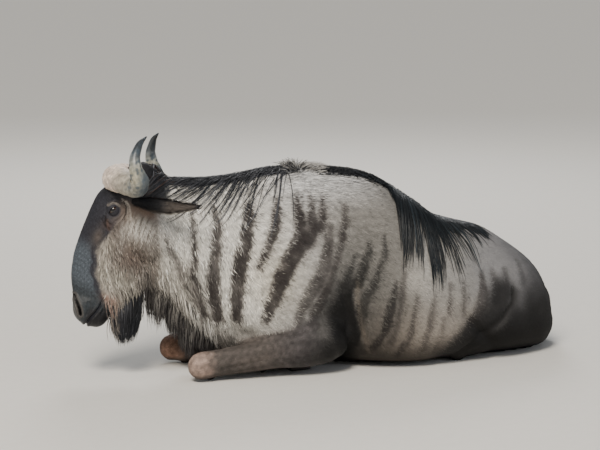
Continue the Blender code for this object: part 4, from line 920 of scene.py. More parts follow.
def coat_colours(points):
    """The sRGB colour of hide and hair at each point of the animal, with light and shade painted in."""
    x, y, z = points.T
    side = np.where(y < mid_line(x), -1, 1)
    wander = mottled(points, 0.05, 3)
    colours = body_tone(x + 0.02 * wander)
    # The top of the back is paler, partly its own grey hair and partly painted light from above.
    colours = stained(colours, HUMP_PALE_AND_LIT, 0.85 * ramp(z, 0.52, 0.65) * ramp(np.abs(x + 0.03), 0.30, 0.10))
    colours = stained(colours, LOW_FLANK_AND_FOLD_GLINT, 0.62 * ramp(z, 0.32, 0.06) * ramp(np.abs(x - 0.27), 0.34, 0.14))
    colours = stained(colours, SHOULDER_CREAM, 0.40 * spot(x + 0.24, z - 0.33, 0.10, 0.12))
    colours = stained(colours, FLANK_PALE, 0.60 * spot(x - 0.240, z - 0.315, 0.050, 0.050))
    # Painted shade over the elbow and behind the shoulder.
    behind_elbow_shade = 1 - 0.30 * spot(x + 0.10, z - 0.17, 0.13, 0.13) - 0.20 * spot(x - 0.02, z - 0.33, 0.10, 0.15)
    colours = colours * behind_elbow_shade[:, None]
    # The thighs, their dark coat deepened by painted shade low on the haunch, the throat and the chest.
    behind_crease = crease_height(x) - z
    thigh = ramp(behind_crease, -0.020, 0.016) * ramp(x, 0.41, 0.43)
    thigh = thigh * (1 - 0.85 * ramp(x, 0.60, 0.68) * ramp(z, 0.15, 0.22))
    thigh = np.maximum(thigh, ramp(x, 0.58, 0.70) * ramp(z, 0.31, 0.17))
    thigh = thigh * (0.93 + 0.07 * wander)
    colours = stained(colours, THIGH_DARK_AND_SHADE, 0.94 * thigh * (side < 0))
    colours = stained(colours, THIGH_DARK_AND_SHADE, 0.7 * ramp(x, 0.50, 0.66) * ramp(z, 0.33, 0.22) * (side > 0))
    colours = stained(colours, THROAT_GREY, 0.5 * ramp(x, -0.44, -0.54) * ramp(z, 0.46, 0.36))
    chest = ramp(x, -0.26, -0.34) * ramp(z, 0.20, 0.08)
    colours = stained(colours, LEG_BROWN, 0.7 * chest)
    jaw_gap, _ = line_distance(points[:, [0, 2]], BEHIND_JAW)
    behind_jaw = 0.75 * ramp(jaw_gap + 0.003 * wander, 0.019, 0.004) * ramp(x, -0.655, -0.630)
    colours = stained(colours, CHEEK_BROWN, behind_jaw)
    # The stripes, ragged at their edges and fading towards the ridge.
    stripe = np.zeros(len(points))
    shifted = np.stack([x + np.where(side > 0, FAR_STRIPE_SHIFT, 0.0), z], -1)
    shifted = shifted + 0.0030 * np.stack([mottled(points, 0.05, 5), mottled(points, 0.05, 6)], -1)
    shifted = shifted + 0.0032 * np.stack([mottled(points, 0.012, 8), mottled(points, 0.012, 9)], -1)
    for strength, knots in STRIPES:
        gap, where = line_distance(shifted, knots)
        widths = np.interp(where, np.arange(len(knots)), [knot[2] for knot in knots]) * STRIPE_SPREAD
        found = ramp(gap, widths / 2 + STRIPE_SOFTNESS, widths / 2 - STRIPE_SOFTNESS)
        stripe = np.maximum(stripe, strength * found)
    stripe *= ramp(np.abs(y - mid_line(x)), 0.035, 0.07)
    stripe *= 0.94 + 0.16 * mottled(points, 0.06, 7)
    stripe *= 1 - 0.8 * ramp(z, 0.585, 0.635) * ramp(np.abs(x), 0.30, 0.22)
    striped = np.minimum(colours * 0.36, colours * 0.08 + np.array(hex_shares(STRIPE_BROWN)) * 0.80)
    stripe = np.clip(stripe, 0, 1)[:, None]
    colours = colours * (1 - stripe) + striped * stripe
    # Painted shade under the barrel near the ground, in a band on the flank in front of the near thigh, low
    # on that thigh and in its crease, with a painted highlight on the thigh beside the crease.
    colours = stained(colours, GROUND_SHADE, 0.80 * ramp(z, 0.13, 0.01) * ramp(x, -0.05, 0.10))
    shade_gap, _ = line_distance(points[:, [0, 2]], FLANK_SHADE)
    low_side = (side < 0) * ramp(y, -0.10, -0.14)
    shade = ramp(shade_gap, 0.075, 0.015) * low_side
    colours = stained(colours, THIGH_DARK_AND_SHADE, 0.90 * shade)
    colours = stained(colours, THIGH_UNDERSIDE_SHADE, 0.85 * ramp(z, 0.20, 0.08) * ramp(x, 0.38, 0.48) * (side < 0))
    crease_gap, _ = line_distance(points[:, [0, 2]], THIGH_CREASE)
    colours = stained(colours, CREASE_SHADE, 0.8 * ramp(crease_gap, 0.010, 0.003) * low_side)
    lit = ramp(np.abs(crease_gap - 0.022), 0.015, 0.003) * (z < crease_height(x)) * (side < 0)
    lit = lit * spot(x - 0.545, z - 0.165, 0.05, 0.05)
    colours = stained(colours, CREASE_GLINT, 0.60 * lit)
    # Dark hide under the long hair.
    ridge = back_line(x) - z
    mane_bed = ramp(ridge, 0.026, 0.012) * ramp(x, -0.07, -0.10)
    crest_bed = ramp(ridge, 0.014, 0.007) * ramp(x, -0.10, -0.06) * ramp(x, 0.58, 0.50)
    fan_bed = ramp(ridge, 0.10, 0.07) * ramp(x, 0.225, 0.245) * ramp(x, 0.33, 0.27) * (side < 0)
    under_hair = np.maximum(np.maximum(mane_bed, crest_bed), fan_bed)
    colours = stained(colours, MANE_BLACK, 0.95 * under_hair)
    nape = ramp(x, -0.555, -0.590) * ramp(z, 0.570, 0.605) * (side < 0)
    colours = stained(colours, MANE_BLACK, 0.92 * nape)
    colours = coloured_legs(colours, points)
    # Painted shade in the hollow behind the elbow and on the flank behind it, with a painted highlight on the
    # fold along its edge.
    reach = np.where(x < -0.010, 0.085, 0.060)
    slant = 0.30 * np.maximum(0.17 - z, 0) - 0.25 * np.maximum(z - 0.22, 0)
    hollow = spot(x - 0.008 + slant, z - 0.185, reach, 0.135)
    hollow = np.maximum(hollow, 0.62 * spot(x + 0.070, z - 0.085, 0.080, 0.085))
    hollow = np.maximum(hollow, spot(x - 0.012, z - 0.13, 0.056, 0.170))
    fold_edge = np.interp(z, (0.06, 0.16, 0.26, 0.30, 0.37), (0.080, 0.044, 0.028, 0.034, 0.026))
    hollow = hollow * ramp(x, fold_edge + 0.010, fold_edge - 0.006)
    fold_gap = np.abs(x - fold_edge - 0.014)
    fold_glint = 0.55 * ramp(fold_gap, 0.010, 0.002) * ramp(z, 0.34, 0.28) * ramp(z, 0.03, 0.07)
    colours = stained(colours, LOW_FLANK_AND_FOLD_GLINT, fold_glint)
    colours = stained(colours, ELBOW_SHADE, 0.35 * spot(x - 0.09, z - 0.12, 0.09, 0.13))
    colours = stained(colours, ELBOW_SHADE, 0.95 * np.clip(1.8 * hollow - 0.18, 0, 1) * ramp(z, 0.42, 0.30))
    # Fine streaks along the lie of the coat.
    grain = np.stack([0.6 * x + 0.8 * z, (0.8 * x - 0.6 * z) * 0.16, y * 0.5], -1)
    sleek = 1 - 0.75 * ramp(x, 0.0, 0.25)
    streaks = 0.14 * mottled(grain, 0.0075, 16) + 0.08 * mottled(grain, 0.018, 17)
    colours = colours * (1 + sleek * streaks)[:, None]
    return coloured_head(colours, points)


def coloured_legs(colours, points):
    """The colours with the lower legs' own: grey and brown, rusty at the knees and dark at the pasterns."""
    x = points[:, 0]
    share, _ = on_legs(points)
    tone = stained(colours, ELBOW_GREY, 1.0)
    tone = stained(tone, LEG_BROWN, ramp(x, -0.16, -0.30))
    knee = ramp(x + 0.012 * mottled(points, 0.03, 18), -0.435, -0.500) * ramp(points[:, 2], 0.004, 0.03)
    tone = stained(tone, KNEE_RUST, 0.90 * knee)
    tone = stained(tone, FAR_KNEE_RUST, 0.6 * knee * (points[:, 1] > 0))
    tone = tone * (1 + 0.10 * mottled(points, 0.022, 19))[:, None]
    hind = stained(colours, LEG_BROWN, 1.0)
    tone = np.where((x < 0.05)[:, None], tone, hind)
    tone = stained(tone, PASTERN_DARK, 0.6 * ramp(points[:, 2], 0.030, 0.0))
    share = share[:, None]
    return colours * (1 - share) + tone * share


def coloured_head(colours, points):
    """The colours with the head's own, from the black of the face to the painted shade and highlights
    round the eye.
    """
    s, o, h = in_head(points)
    out = np.abs(o)
    share = headness(points)
    wander = 0.004 * mottled(points, 0.030, 11) + 0.003 * mottled(points, 0.009, 14)
    edge = cheek_edge_height(s) + wander
    top = 0.100 + 0.15 * ramp(h, -0.03, 0.03) + wander
    cheek = ramp(edge - h, -0.016, 0.014) * ramp(s - top, -0.012, 0.020) * ramp(s, 0.445, 0.42)
    tone = stained(colours, FACE_BLACK, 1.0)
    nose = ramp(s, 0.24, 0.30) * ramp(h - edge, 0.018, 0.032)
    tone = stained(tone, NOSE_SLATE, 0.85 * nose * (0.75 + 0.25 * mottled(points, 0.008, 12)))
    tone = stained(tone, MUZZLE_SLATE, 0.9 * ramp(s, 0.375, 0.450))
    tone = tone * (1 + 0.12 * mottled(points, 0.012, 20) + 0.16 * mottled(points, 0.005, 24))[:, None]
    # Painted shade under the horn bosses darkens the top of the face.
    tone = tone * (1 - 0.38 * ramp(s, 0.120, 0.070))[:, None]
    tone = stained(tone, GLAND_BROWN, 0.85 * spot(s - 0.236, h - 0.040, 0.034, 0.020) * ramp(out, 0.03, 0.05))
    on_side = ramp(out, 0.04, 0.06)
    tone = stained(tone, TEAR_RUST, 0.6 * spot(s - 0.186, h - 0.022, 0.014, 0.020) * on_side)
    # The cheek's long pale hair.
    tone = stained(tone, CHEEK_PALE, cheek)
    tone = stained(tone, CHEEK_WHITE, 0.95 * cheek * spot(s - 0.165, h + 0.080, 0.044, 0.055))
    strands = np.stack([h, o * 0.5, s * 0.18], -1)
    tone = stained(tone, STRAND_DARK, 0.74 * cheek * np.clip(mottled(strands, 0.010, 15) + 0.2, 0, 1))
    tone = stained(tone, STRAND_PALE, 0.35 * cheek * np.clip(mottled(strands, 0.007, 25), 0, 1))
    tone = stained(tone, CHEEK_CREAM, 0.50 * cheek * ramp(edge - h, 0.060, 0.020) * ramp(s, 0.20, 0.24))
    for colour, strength, at, reach in CHEEK_PATCHES:
        tone = stained(tone, colour, strength * cheek * spot(s - at[0], h - at[1], *reach))
    tone = stained(tone, THROAT_GREY, 0.7 * cheek * ramp(s, 0.35, 0.40))
    for colour, strength, at, reach in TEMPLE_PATCHES:
        tone = stained(tone, colour, strength * spot(s - at[0], h - at[1], *reach) * on_side)
    # Mouth, lips and nostrils, with painted shade along the mouth and inside the nostrils and a painted
    # highlight on the nostrils' rims.
    tone = stained(tone, MOUTH_RUST, 0.55 * spot(s - 0.418, h + 0.070, 0.016, 0.030))
    tone = stained(tone, LIP_GREY_AND_RIM_HIGHLIGHT, 0.6 * spot(s - 0.500, h - 0.030, 0.020, 0.025))
    tone = stained(tone, LOWER_LIP, 0.85 * ramp(s, 0.455, 0.480) * ramp(h, -0.012, -0.030))
    flat = np.stack([s, h], -1)
    lips, _ = line_distance(flat, MOUTH)
    tone = stained(tone, FACE_BLACK, 0.85 * ramp(lips, 0.0045, 0.0015) * ramp(s, 0.42, 0.43))
    nostril, _ = line_distance(flat, NOSTRIL)
    inner = ramp(out, 0.010, 0.022)
    tone = stained(tone, LIP_GREY_AND_RIM_HIGHLIGHT, 0.7 * ramp(nostril, 0.016, 0.010) * inner)
    tone = stained(tone, NOSTRIL_SHADE, ramp(nostril, 0.0068, 0.0045) * inner)
    # Round the eye: tan brow, dark lids, painted shade in the creases and painted highlights on the folds
    # between them.
    beside_eye = ramp(out, 0.05, 0.07)
    tone = stained(tone, BROW_TAN, 0.75 * spot(s - 0.118, h + 0.010, 0.034, 0.026) * beside_eye)
    eye_ring = ramp(np.hypot(s - 0.133, h - 0.022), 0.026, 0.017) * beside_eye
    tone = stained(tone, FACE_BLACK, 0.9 * eye_ring)
    for shade, width, line in EYE_CREASE_SHADE_AND_HIGHLIGHTS:
        crease, _ = line_distance(flat, line)
        tone = stained(tone, shade, 0.8 * ramp(crease, width, width * 0.3) * beside_eye)
    share = share[:, None]
    return colours * (1 - share) + tone * share


def set_tones(mesh, colours):
    """Writes sRGB colours for each vertex as linear ones in a colour attribute."""
    layer = mesh.color_attributes.new("tone", "FLOAT_COLOR", "POINT")
    values = np.ones((len(mesh.vertices), 4))
    values[:, :3] = linear(np.clip(colours, 0.01, 1))
    layer.data.foreach_set("color", values.ravel())


# Hide. It carries the coat's own markings and the light and shade painted with them, with the nap of the
# shortest hair as fine bump; on the bare muzzle and the lids the nap gives way to a pebbled, slightly damp
# skin.
NAP_MM = 1.6
PEBBLE_MM = 2.6
hide, tree, shader = new_material("short_haired_hide")
place = add_node(tree, "ShaderNodeTexCoord", {}, {})
tone = add_node(tree, "ShaderNodeAttribute", {"attribute_name": "tone"}, {})
bare = add_node(tree, "ShaderNodeAttribute", {"attribute_name": "bare"}, {})
combed = add_node(
    tree, "ShaderNodeMapping", {},
    {"Vector": place.outputs["Object"], "Rotation": (0.0, 0.7, 0.0), "Scale": (0.35, 1.0, 1.0)},
)
nap = add_node(
    tree, "ShaderNodeTexNoise", {},
    {"Vector": combed.outputs["Vector"], "Scale": 1000 / NAP_MM, "Detail": 2.0, "Roughness": 0.6},
)
pebble = add_node(
    tree, "ShaderNodeTexVoronoi", {"feature": "SMOOTH_F1"},
    {"Vector": place.outputs["Object"], "Scale": 1000 / PEBBLE_MM, "Smoothness": 0.4},
)
shade_of_nap = add_node(
    tree, "ShaderNodeMapRange", {},
    {"Value": nap.outputs["Fac"], "From Min": 0.3, "From Max": 0.7, "To Min": 0.84, "To Max": 1.14},
)
tinted = add_node(
    tree, "ShaderNodeMix", {"data_type": "RGBA", "blend_type": "MULTIPLY"},
    {"Factor": 1.0, 6: tone.outputs["Color"], 7: shade_of_nap.outputs["Result"]},
)
relief = add_node(
    tree, "ShaderNodeMix", {"data_type": "FLOAT"},
    {"Factor": bare.outputs["Fac"], 2: nap.outputs["Fac"], 3: pebble.outputs["Distance"]},
)
bump = add_node(
    tree, "ShaderNodeBump", {}, {"Height": relief.outputs[0], "Strength": 0.5, "Distance": 0.0012},
)
gloss = add_node(
    tree, "ShaderNodeMapRange", {}, {"Value": bare.outputs["Fac"], "To Min": 0.72, "To Max": 0.42},
)
tree.links.new(tinted.outputs[2], shader.inputs["Base Color"])
tree.links.new(bump.outputs["Normal"], shader.inputs["Normal"])
tree.links.new(gloss.outputs["Result"], shader.inputs["Roughness"])
shader.inputs["Specular IOR Level"].default_value = 0.20


def set_bareness(mesh, values):
    """Writes how bare of hair each vertex is, from none at 0 to all at 1."""
    layer = mesh.attributes.new("bare", "FLOAT", "POINT")
    layer.data.foreach_set("value", values)


points = coordinates(skin_mesh)
s, o, h = in_head(points)
bareness = headness(points) * ramp(s, 0.425, 0.45)
on_lids = headness(points) * ramp(off_eye(s, h), 0.022, 0.017) * (np.abs(o) > 0.06)
bareness = np.maximum(bareness, on_lids)
set_tones(skin_mesh, coat_colours(points))
set_bareness(skin_mesh, bareness)
skin_mesh.materials.clear()
skin_mesh.materials.append(hide)
skin_mesh.shade_smooth()
skin = linked("skin", skin_mesh)
bpy.context.view_layer.objects.active = skin
skin.select_set(True)
bpy.ops.object.mode_set(mode="EDIT")
bpy.ops.mesh.select_all(action="SELECT")
bpy.ops.uv.smart_project(angle_limit=math.radians(66), island_margin=0.002)
bpy.ops.object.mode_set(mode="OBJECT")
skin.select_set(False)
skin_mesh.uv_layers.active.name = "OFBake"
FLESH_NODES = [
    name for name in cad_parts
    if name.startswith(("head", "neck", "trunk", "fore", "thigh", "shank", "hind", "tail_dock"))
]
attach(skin, "root")
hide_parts(*FLESH_NODES)
surface = BVHTree.FromPolygons(
    [tuple(point) for point in coordinates(skin_mesh)], [tuple(face.vertices) for face in skin_mesh.polygons]
)
bpy.context.view_layer.update()

# Locks of hair. Every tuft and lock is a closed three-sided blade that tapers to one point, lit from root
# to tip by its own tones, with its patch of the coat's map at its root's place on the unwrapped skin.
BAKE_PATCH = 0.003


def streaked_material(name, roughness, streak_mm, detail, streaks, tones):
    """A piece's own tone, broken by fine lighter and darker streaks, as (material, shader): the ends of the
    range of streaks are drawn out to the ends of the range of tones."""
    material, tree, shader = new_material(name)
    place = add_node(tree, "ShaderNodeTexCoord", {}, {})
    tone = add_node(tree, "ShaderNodeAttribute", {"attribute_name": "tone"}, {})
    streak = add_node(
        tree, "ShaderNodeTexNoise", {},
        {"Vector": place.outputs["Object"], "Scale": 1000 / streak_mm, "Detail": detail},
    )
    strength = add_node(
        tree, "ShaderNodeMapRange", {},
        {"Value": streak.outputs["Fac"], "From Min": streaks[0], "From Max": streaks[1],
         "To Min": tones[0], "To Max": tones[1]},
    )
    tinted = add_node(
        tree, "ShaderNodeMix", {"data_type": "RGBA", "blend_type": "MULTIPLY"},
        {"Factor": 1.0, 6: tone.outputs["Color"], 7: strength.outputs["Result"]},
    )
    tree.links.new(tinted.outputs[2], shader.inputs["Base Color"])
    shader.inputs["Roughness"].default_value = roughness
    return material, shader


def hair_material(name, roughness, streak_mm):
    """Hair: streaks along and across the strands, and a low sheen."""
    material, shader = streaked_material(
        name, roughness, streak_mm, detail=1.0, streaks=(0.3, 0.7), tones=(0.8, 1.2),
    )
    shader.inputs["Specular IOR Level"].default_value = 0.24
    return material


def smooth_piece(name, mesh, material):
    """A new smooth piece of one material."""
    mesh.materials.append(material)
    mesh.shade_smooth()
    return linked(name, mesh)


def blades(name, paths, across, upward, widths, thickness, roundness, tones, patches, material):
    """One mesh of many blades. paths, across and upward are (blades, stations, 3), widths are for each
    station but the last, thickness is a share of the width and roundness says how far its sides catch the
    light as those of a round strand do; tones are sRGB for each station."""
    count, stations = paths.shape[:2]
    body = stations - 1
    half = widths[:, :body, None] / 2
    left = paths[:, :body] - across[:, :body] * half
    right = paths[:, :body] + across[:, :body] * half
    top = paths[:, :body] + upward[:, :body] * half * 2 * thickness
    rings = np.stack([left, top, right], 2).reshape(count, body * 3, 3)
    points = np.concatenate([rings, paths[:, body:]], 1)
    each = body * 3 + 1
    quads = []
    for j in range(body - 1):
        for k in range(3):
            m = (k + 1) % 3
            quads.append((j * 3 + m, j * 3 + k, j * 3 + 3 + k, j * 3 + 3 + m))
    tip = [((body - 1) * 3 + (k + 1) % 3, (body - 1) * 3 + k, each - 1) for k in range(3)]
    starts = (np.arange(count) * each)[:, None]
    quad_corners = (starts + np.array(quads, int).reshape(1, -1)).ravel()
    tip_corners = (starts + np.array(tip).reshape(1, -1)).ravel()
    corners = np.concatenate([quad_corners, tip_corners])
    quad_count, tip_count = len(quad_corners) // 4, len(tip_corners) // 3
    face_starts = np.concatenate([np.arange(quad_count) * 4, quad_count * 4 + np.arange(tip_count) * 3])
    mesh = bpy.data.meshes.new(name)
    mesh.vertices.add(count * each)
    mesh.vertices.foreach_set("co", points.ravel())
    mesh.loops.add(len(corners))
    mesh.loops.foreach_set("vertex_index", corners.astype(np.int32))
    mesh.polygons.add(quad_count + tip_count)
    mesh.polygons.foreach_set("loop_start", face_starts.astype(np.int32))
    mesh.update(calc_edges=True)
    tone = np.repeat(tones[:, :body], 3, axis=1)
    set_tones(mesh, np.concatenate([tone, tones[:, body:]], 1).reshape(-1, 3))
    step = BAKE_PATCH / body
    local = [((k - 1) * BAKE_PATCH / 2, j * step) for j in range(body) for k in range(3)]
    local.append((0.0, BAKE_PATCH))
    spots = (patches[:, None] + np.array(local)[None] - [0.0, BAKE_PATCH / 2]).reshape(-1, 2)
    layer = mesh.uv_layers.new(name="OFBake")
    layer.data.foreach_set("uv", np.clip(spots[corners], 0.0, 1.0).ravel())
    made = smooth_piece(name, mesh, material)
    facing = [unit(upward[:, :body] + across[:, :body] * lean * roundness) for lean in (-1, 0, 1)]
    facing = np.stack(facing, 2).reshape(count, body * 3, 3)
    facing = np.concatenate([facing, upward[:, body:]], 1).reshape(-1, 3)
    mesh.normals_split_custom_set_from_vertices(facing)
    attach(made, "root")
    return made


def lie_of_coat(points, normals):
    """The way the hair points, along the skin: back and down on the body, down the face, to the hooves."""
    x, _, z = points.T
    neck = ramp(x, -0.20, -0.40)
    rump = ramp(x, 0.45, 0.65)
    ways = np.stack([0.80 - 0.50 * neck - 0.25 * rump, 0 * x, -0.60 - 0.35 * neck - 0.25 * rump], -1)
    ways = ways + np.array([0.5, 0.0, 0.5]) * ramp(z, 0.50, 0.66)[:, None] * (1 - neck)[:, None]
    legs, leg_way = on_legs(points)
    ways = ways * (1 - legs[:, None]) + leg_way * legs[:, None]
    s, _, h = in_head(points)
    head = headness(points)[:, None]
    behind = ramp(cheek_edge_height(s) - h, 0.0, 0.03)[:, None]
    below_ear = ramp(s, 0.08, 0.14)[:, None]
    cheek_way = np.array([0.22, 0.0, -1.0])
    head_way = FACE_WAY * (1 - behind * below_ear) + cheek_way * behind * below_ear
    ways = ways * (1 - head) + head_way * head
    ways = ways + 0.16 * np.stack([mottled(points, 0.10, seed) for seed in (21, 22, 23)], -1)
    ways = ways - np.sum(ways * normals, -1, keepdims=True) * normals
    return unit(ways)


def coat_length(points):
    """How long the short coat is at each point."""
    x, _, z = points.T
    s, o, h = in_head(points)
    neck = ramp(x, -0.18, -0.40)
    length = 0.013 + 0.004 * neck
    length = length + 0.007 * ramp(z, 0.55, 0.64) * ramp(np.abs(x), 0.30, 0.10)
    length = length - 0.003 * ramp(x, 0.40, 0.60)
    length = length + 0.016 * ramp(x, -0.42, -0.52) * ramp(z, 0.42, 0.30)
    legs, _ = on_legs(points)
    length = length * (1 - legs) + 0.007 * legs
    edge = cheek_edge_height(s)
    cheek = ramp(edge - h, -0.006, 0.020) * ramp(s, 0.10, 0.16)
    face = 0.0055 * (1 - cheek) + (0.012 + 0.010 * ramp(s, 0.16, 0.32)) * cheek
    face = face - 0.0020 * ramp(s, 0.38, 0.44) * (1 - cheek)
    face = face * (1 - 0.5 * ramp(off_eye(s, h), 0.045, 0.028) * (np.abs(o) > 0.05))
    head = headness(points)
    return length * (1 - head) + face * head


# The short coat: tufts a finger's breadth long and less, laid over the whole skin with the coat's lie,
# longer on neck and cheek, shortest on face and legs, and none on the bare muzzle and lids.
COAT_TUFTS = 210000
BENT_LENGTH = 0.0175
LOWEST_HAIR = 0.0006
FULL_COVER = 1.0
SHORT_COVER = 0.68
LIFT_LEAST = 0.03
LIFT_MOST = 0.15

skin_mesh.calc_loop_triangles()
triangle_count = len(skin_mesh.loop_triangles)
corner_points = np.empty(triangle_count * 3, np.int32)
skin_mesh.loop_triangles.foreach_get("vertices", corner_points)
corner_points = corner_points.reshape(-1, 3)
corner_loops = np.empty(triangle_count * 3, np.int32)
skin_mesh.loop_triangles.foreach_get("loops", corner_loops)
corner_loops = corner_loops.reshape(-1, 3)
skin_points = coordinates(skin_mesh)
skin_outward = outward(skin_mesh)
skin_map = np.empty(len(skin_mesh.loops) * 2)
skin_mesh.uv_layers["OFBake"].data.foreach_get("uv", skin_map)
skin_map = skin_map.reshape(-1, 2)
trio = skin_points[corner_points]
areas = np.linalg.norm(np.cross(trio[:, 1] - trio[:, 0], trio[:, 2] - trio[:, 0]), axis=1) / 2
middles = trio.mean(1)


def scatter(weights, count):
    """Random roots on the skin, as (points, normals, map places), by a weight for each triangle."""
    chosen = chance.choice(triangle_count, size=count, p=weights / weights.sum())
    a, b = np.sqrt(chance.random(count)), chance.random(count)
    shares = np.stack([1 - a, a * (1 - b), a * b], -1)[:, :, None]
    roots = (trio[chosen] * shares).sum(1)
    normals = unit((skin_outward[corner_points[chosen]] * shares).sum(1))
    places = (skin_map[corner_loops[chosen]] * shares).sum(1)
    return roots, normals, places


lengths_there = coat_length(middles)
widths_there = np.clip(0.0006 + 0.095 * lengths_there, 0.0010, 0.0026)
cover = SHORT_COVER + (FULL_COVER - SHORT_COVER) * ramp(lengths_there, 0.008, 0.016)
hidden = ramp(middles[:, 2], 0.001, 0.004)
bare_there = bareness[corner_points].mean(1)
ridge_there = back_line(middles[:, 0]) - middles[:, 2]
under_mane = 1 - 0.75 * ramp(ridge_there, 0.030, 0.010) * ramp(middles[:, 0], -0.08, -0.12)
weights = areas * cover / (lengths_there * widths_there) * hidden * (1 - bare_there) * under_mane
roots, root_normals, root_places = scatter(weights, COAT_TUFTS)
ways = lie_of_coat(roots, root_normals)
lengths = coat_length(roots) * chance.uniform(0.75, 1.25, COAT_TUFTS)
sides_of_tuft = np.cross(root_normals, ways)
drift = chance.normal(0, 0.13, COAT_TUFTS)[:, None]
ways = unit(ways + sides_of_tuft * drift)
sides_of_tuft = np.cross(root_normals, ways)
widths = np.clip(0.0006 + 0.095 * lengths, 0.0010, 0.0026) * chance.uniform(0.8, 1.2, COAT_TUFTS)
lift = LIFT_LEAST + (LIFT_MOST - LIFT_LEAST) * chance.random(COAT_TUFTS)
low = ramp(roots[:, 2], 0.03, 0.10)
lift = lift * (0.4 + 0.6 * low)
reach = lengths[:, None] * np.array([-0.04, 0.45, 1.0])
rise = lengths[:, None] * lift[:, None] * np.array([0.0, 0.85, 1.0]) + np.array([-0.0006, 0.0002, 0.0])
bend = lengths[:, None] * drift * np.array([0.0, 0.0, 0.6])
tuft_paths = (
    roots[:, None] + ways[:, None] * reach[..., None] + root_normals[:, None] * rise[..., None]
    + sides_of_tuft[:, None] * bend[..., None]
)
tuft_paths[..., 2] = np.maximum(tuft_paths[..., 2], LOWEST_HAIR)
stray = np.where(chance.random(COAT_TUFTS) < 0.16, 2.1, 1.0) * lengths
shifted_roots = roots + ways * (chance.uniform(-1.1, 0.6, COAT_TUFTS) * stray)[:, None]
shifted_roots += sides_of_tuft * (chance.normal(0, 0.22, COAT_TUFTS) * stray)[:, None]
tuft_colours = coat_colours(shifted_roots)
vary = chance.normal(0, 1, COAT_TUFTS)
grizzle = 0.13 + 0.05 * ramp(roots[:, 0], -0.30, -0.50) - 0.05 * ramp(roots[:, 0], 0.30, 0.50)
grizzle = grizzle + 0.10 * headness(roots) * ramp(lengths, 0.008, 0.013)
bright = 1 + grizzle * vary
tuft_tones = tuft_colours[:, None] * bright[:, None, None] * np.array([0.90, 1.0, 1.06])[None, :, None]
tuft_across = np.repeat(sides_of_tuft[:, None], 3, axis=1)
tuft_upward = np.repeat(root_normals[:, None], 3, axis=1)
tuft_widths = widths[:, None] * np.array([0.9, 0.8])
on_side = roots[:, 1] < mid_line(roots[:, 0])
head_tufts = headness(roots) > 0.5
tuft_legs = on_legs(roots)[0] > 0.5
neck_tufts = ~head_tufts & (roots[:, 0] < -0.22) & ~tuft_legs
back_tufts = ~head_tufts & ~neck_tufts & ~tuft_legs & (roots[:, 0] > 0.42)
barrel = ~head_tufts & ~neck_tufts & ~tuft_legs & ~back_tufts
coat_hair = hair_material("short_coat_hair", roughness=0.62, streak_mm=3.0)
COAT_PIECES = (
    ("coat_head", head_tufts, "face_coat"), ("coat_legs", tuft_legs, "leg_coat"),
    ("coat_neck_left", neck_tufts & on_side, "coat"), ("coat_neck_right", neck_tufts & ~on_side, "coat"),
    ("coat_barrel_left", barrel & on_side & (roots[:, 0] < 0.10), "coat"),
    ("coat_flank_left", barrel & on_side & (roots[:, 0] >= 0.10), "coat"),
    ("coat_barrel_right", barrel & ~on_side & (roots[:, 0] < 0.10), "coat"),
    ("coat_flank_right", barrel & ~on_side & (roots[:, 0] >= 0.10), "coat"),
    ("coat_haunch_left", back_tufts & on_side, "coat"), ("coat_haunch_right", back_tufts & ~on_side, "coat"),
)
bent = lengths > BENT_LENGTH
for name, chosen, slot in COAT_PIECES:
    for shape, these, kept in (("long", chosen & bent, [0, 1, 2]), ("short", chosen & ~bent, [0, 2])):
        if not these.any():
            continue
        piece = blades(
            "_".join((name, shape)), tuft_paths[these][:, kept], tuft_across[these][:, kept],
            tuft_upward[these][:, kept], tuft_widths[these][:, :len(kept) - 1], thickness=0.30,
            roundness=0.35, tones=tuft_tones[these][:, kept], patches=root_places[these], material=coat_hair,
        )

# The mane and the crest of the back: coarse black hair, rooted along the ridge. The mane falls forward
# and down the neck in separate locks; behind the hump it lies along the spine, then falls down the loin
# in a broad fan. Lanes are (root x, end x, end height on the left side, share of long locks); thickness
# and length of the short locks are (x, value).
LONG_STATIONS = 8
MANE_LOCKS = 1850
MANE_LANES = (
    (-0.625, -0.652, 0.640, 0.5), (-0.57, -0.655, 0.630, 0.42), (-0.50, -0.635, 0.612, 0.22),
    (-0.44, -0.600, 0.585, 0.16), (-0.37, -0.550, 0.560, 0.14), (-0.32, -0.490, 0.530, 0.12),
    (-0.28, -0.430, 0.512, 0.10), (-0.235, -0.390, 0.520, 0.07), (-0.19, -0.350, 0.552, 0.05),
    (-0.15, -0.290, 0.600, 0.04), (-0.12, -0.225, 0.635, 0.03), (-0.10, -0.16, 0.665, 0.02),
)
MANE_THICKNESS = ((-0.64, 0.010), (-0.50, 0.013), (-0.30, 0.013), (-0.09, 0.012))
MANE_STRAY_LOCKS = 22
MANE_STRAY_LANES = ((-0.26, -0.40, 0.470, 1.0), (-0.18, -0.285, 0.488, 1.0), (-0.12, -0.20, 0.52, 1.0))
MANE_SHORT = ((-0.64, 0.40), (-0.52, 0.28), (-0.40, 0.17), (-0.32, 0.11), (-0.24, 0.07), (-0.09, 0.05))
CREST_LOCKS = 3300
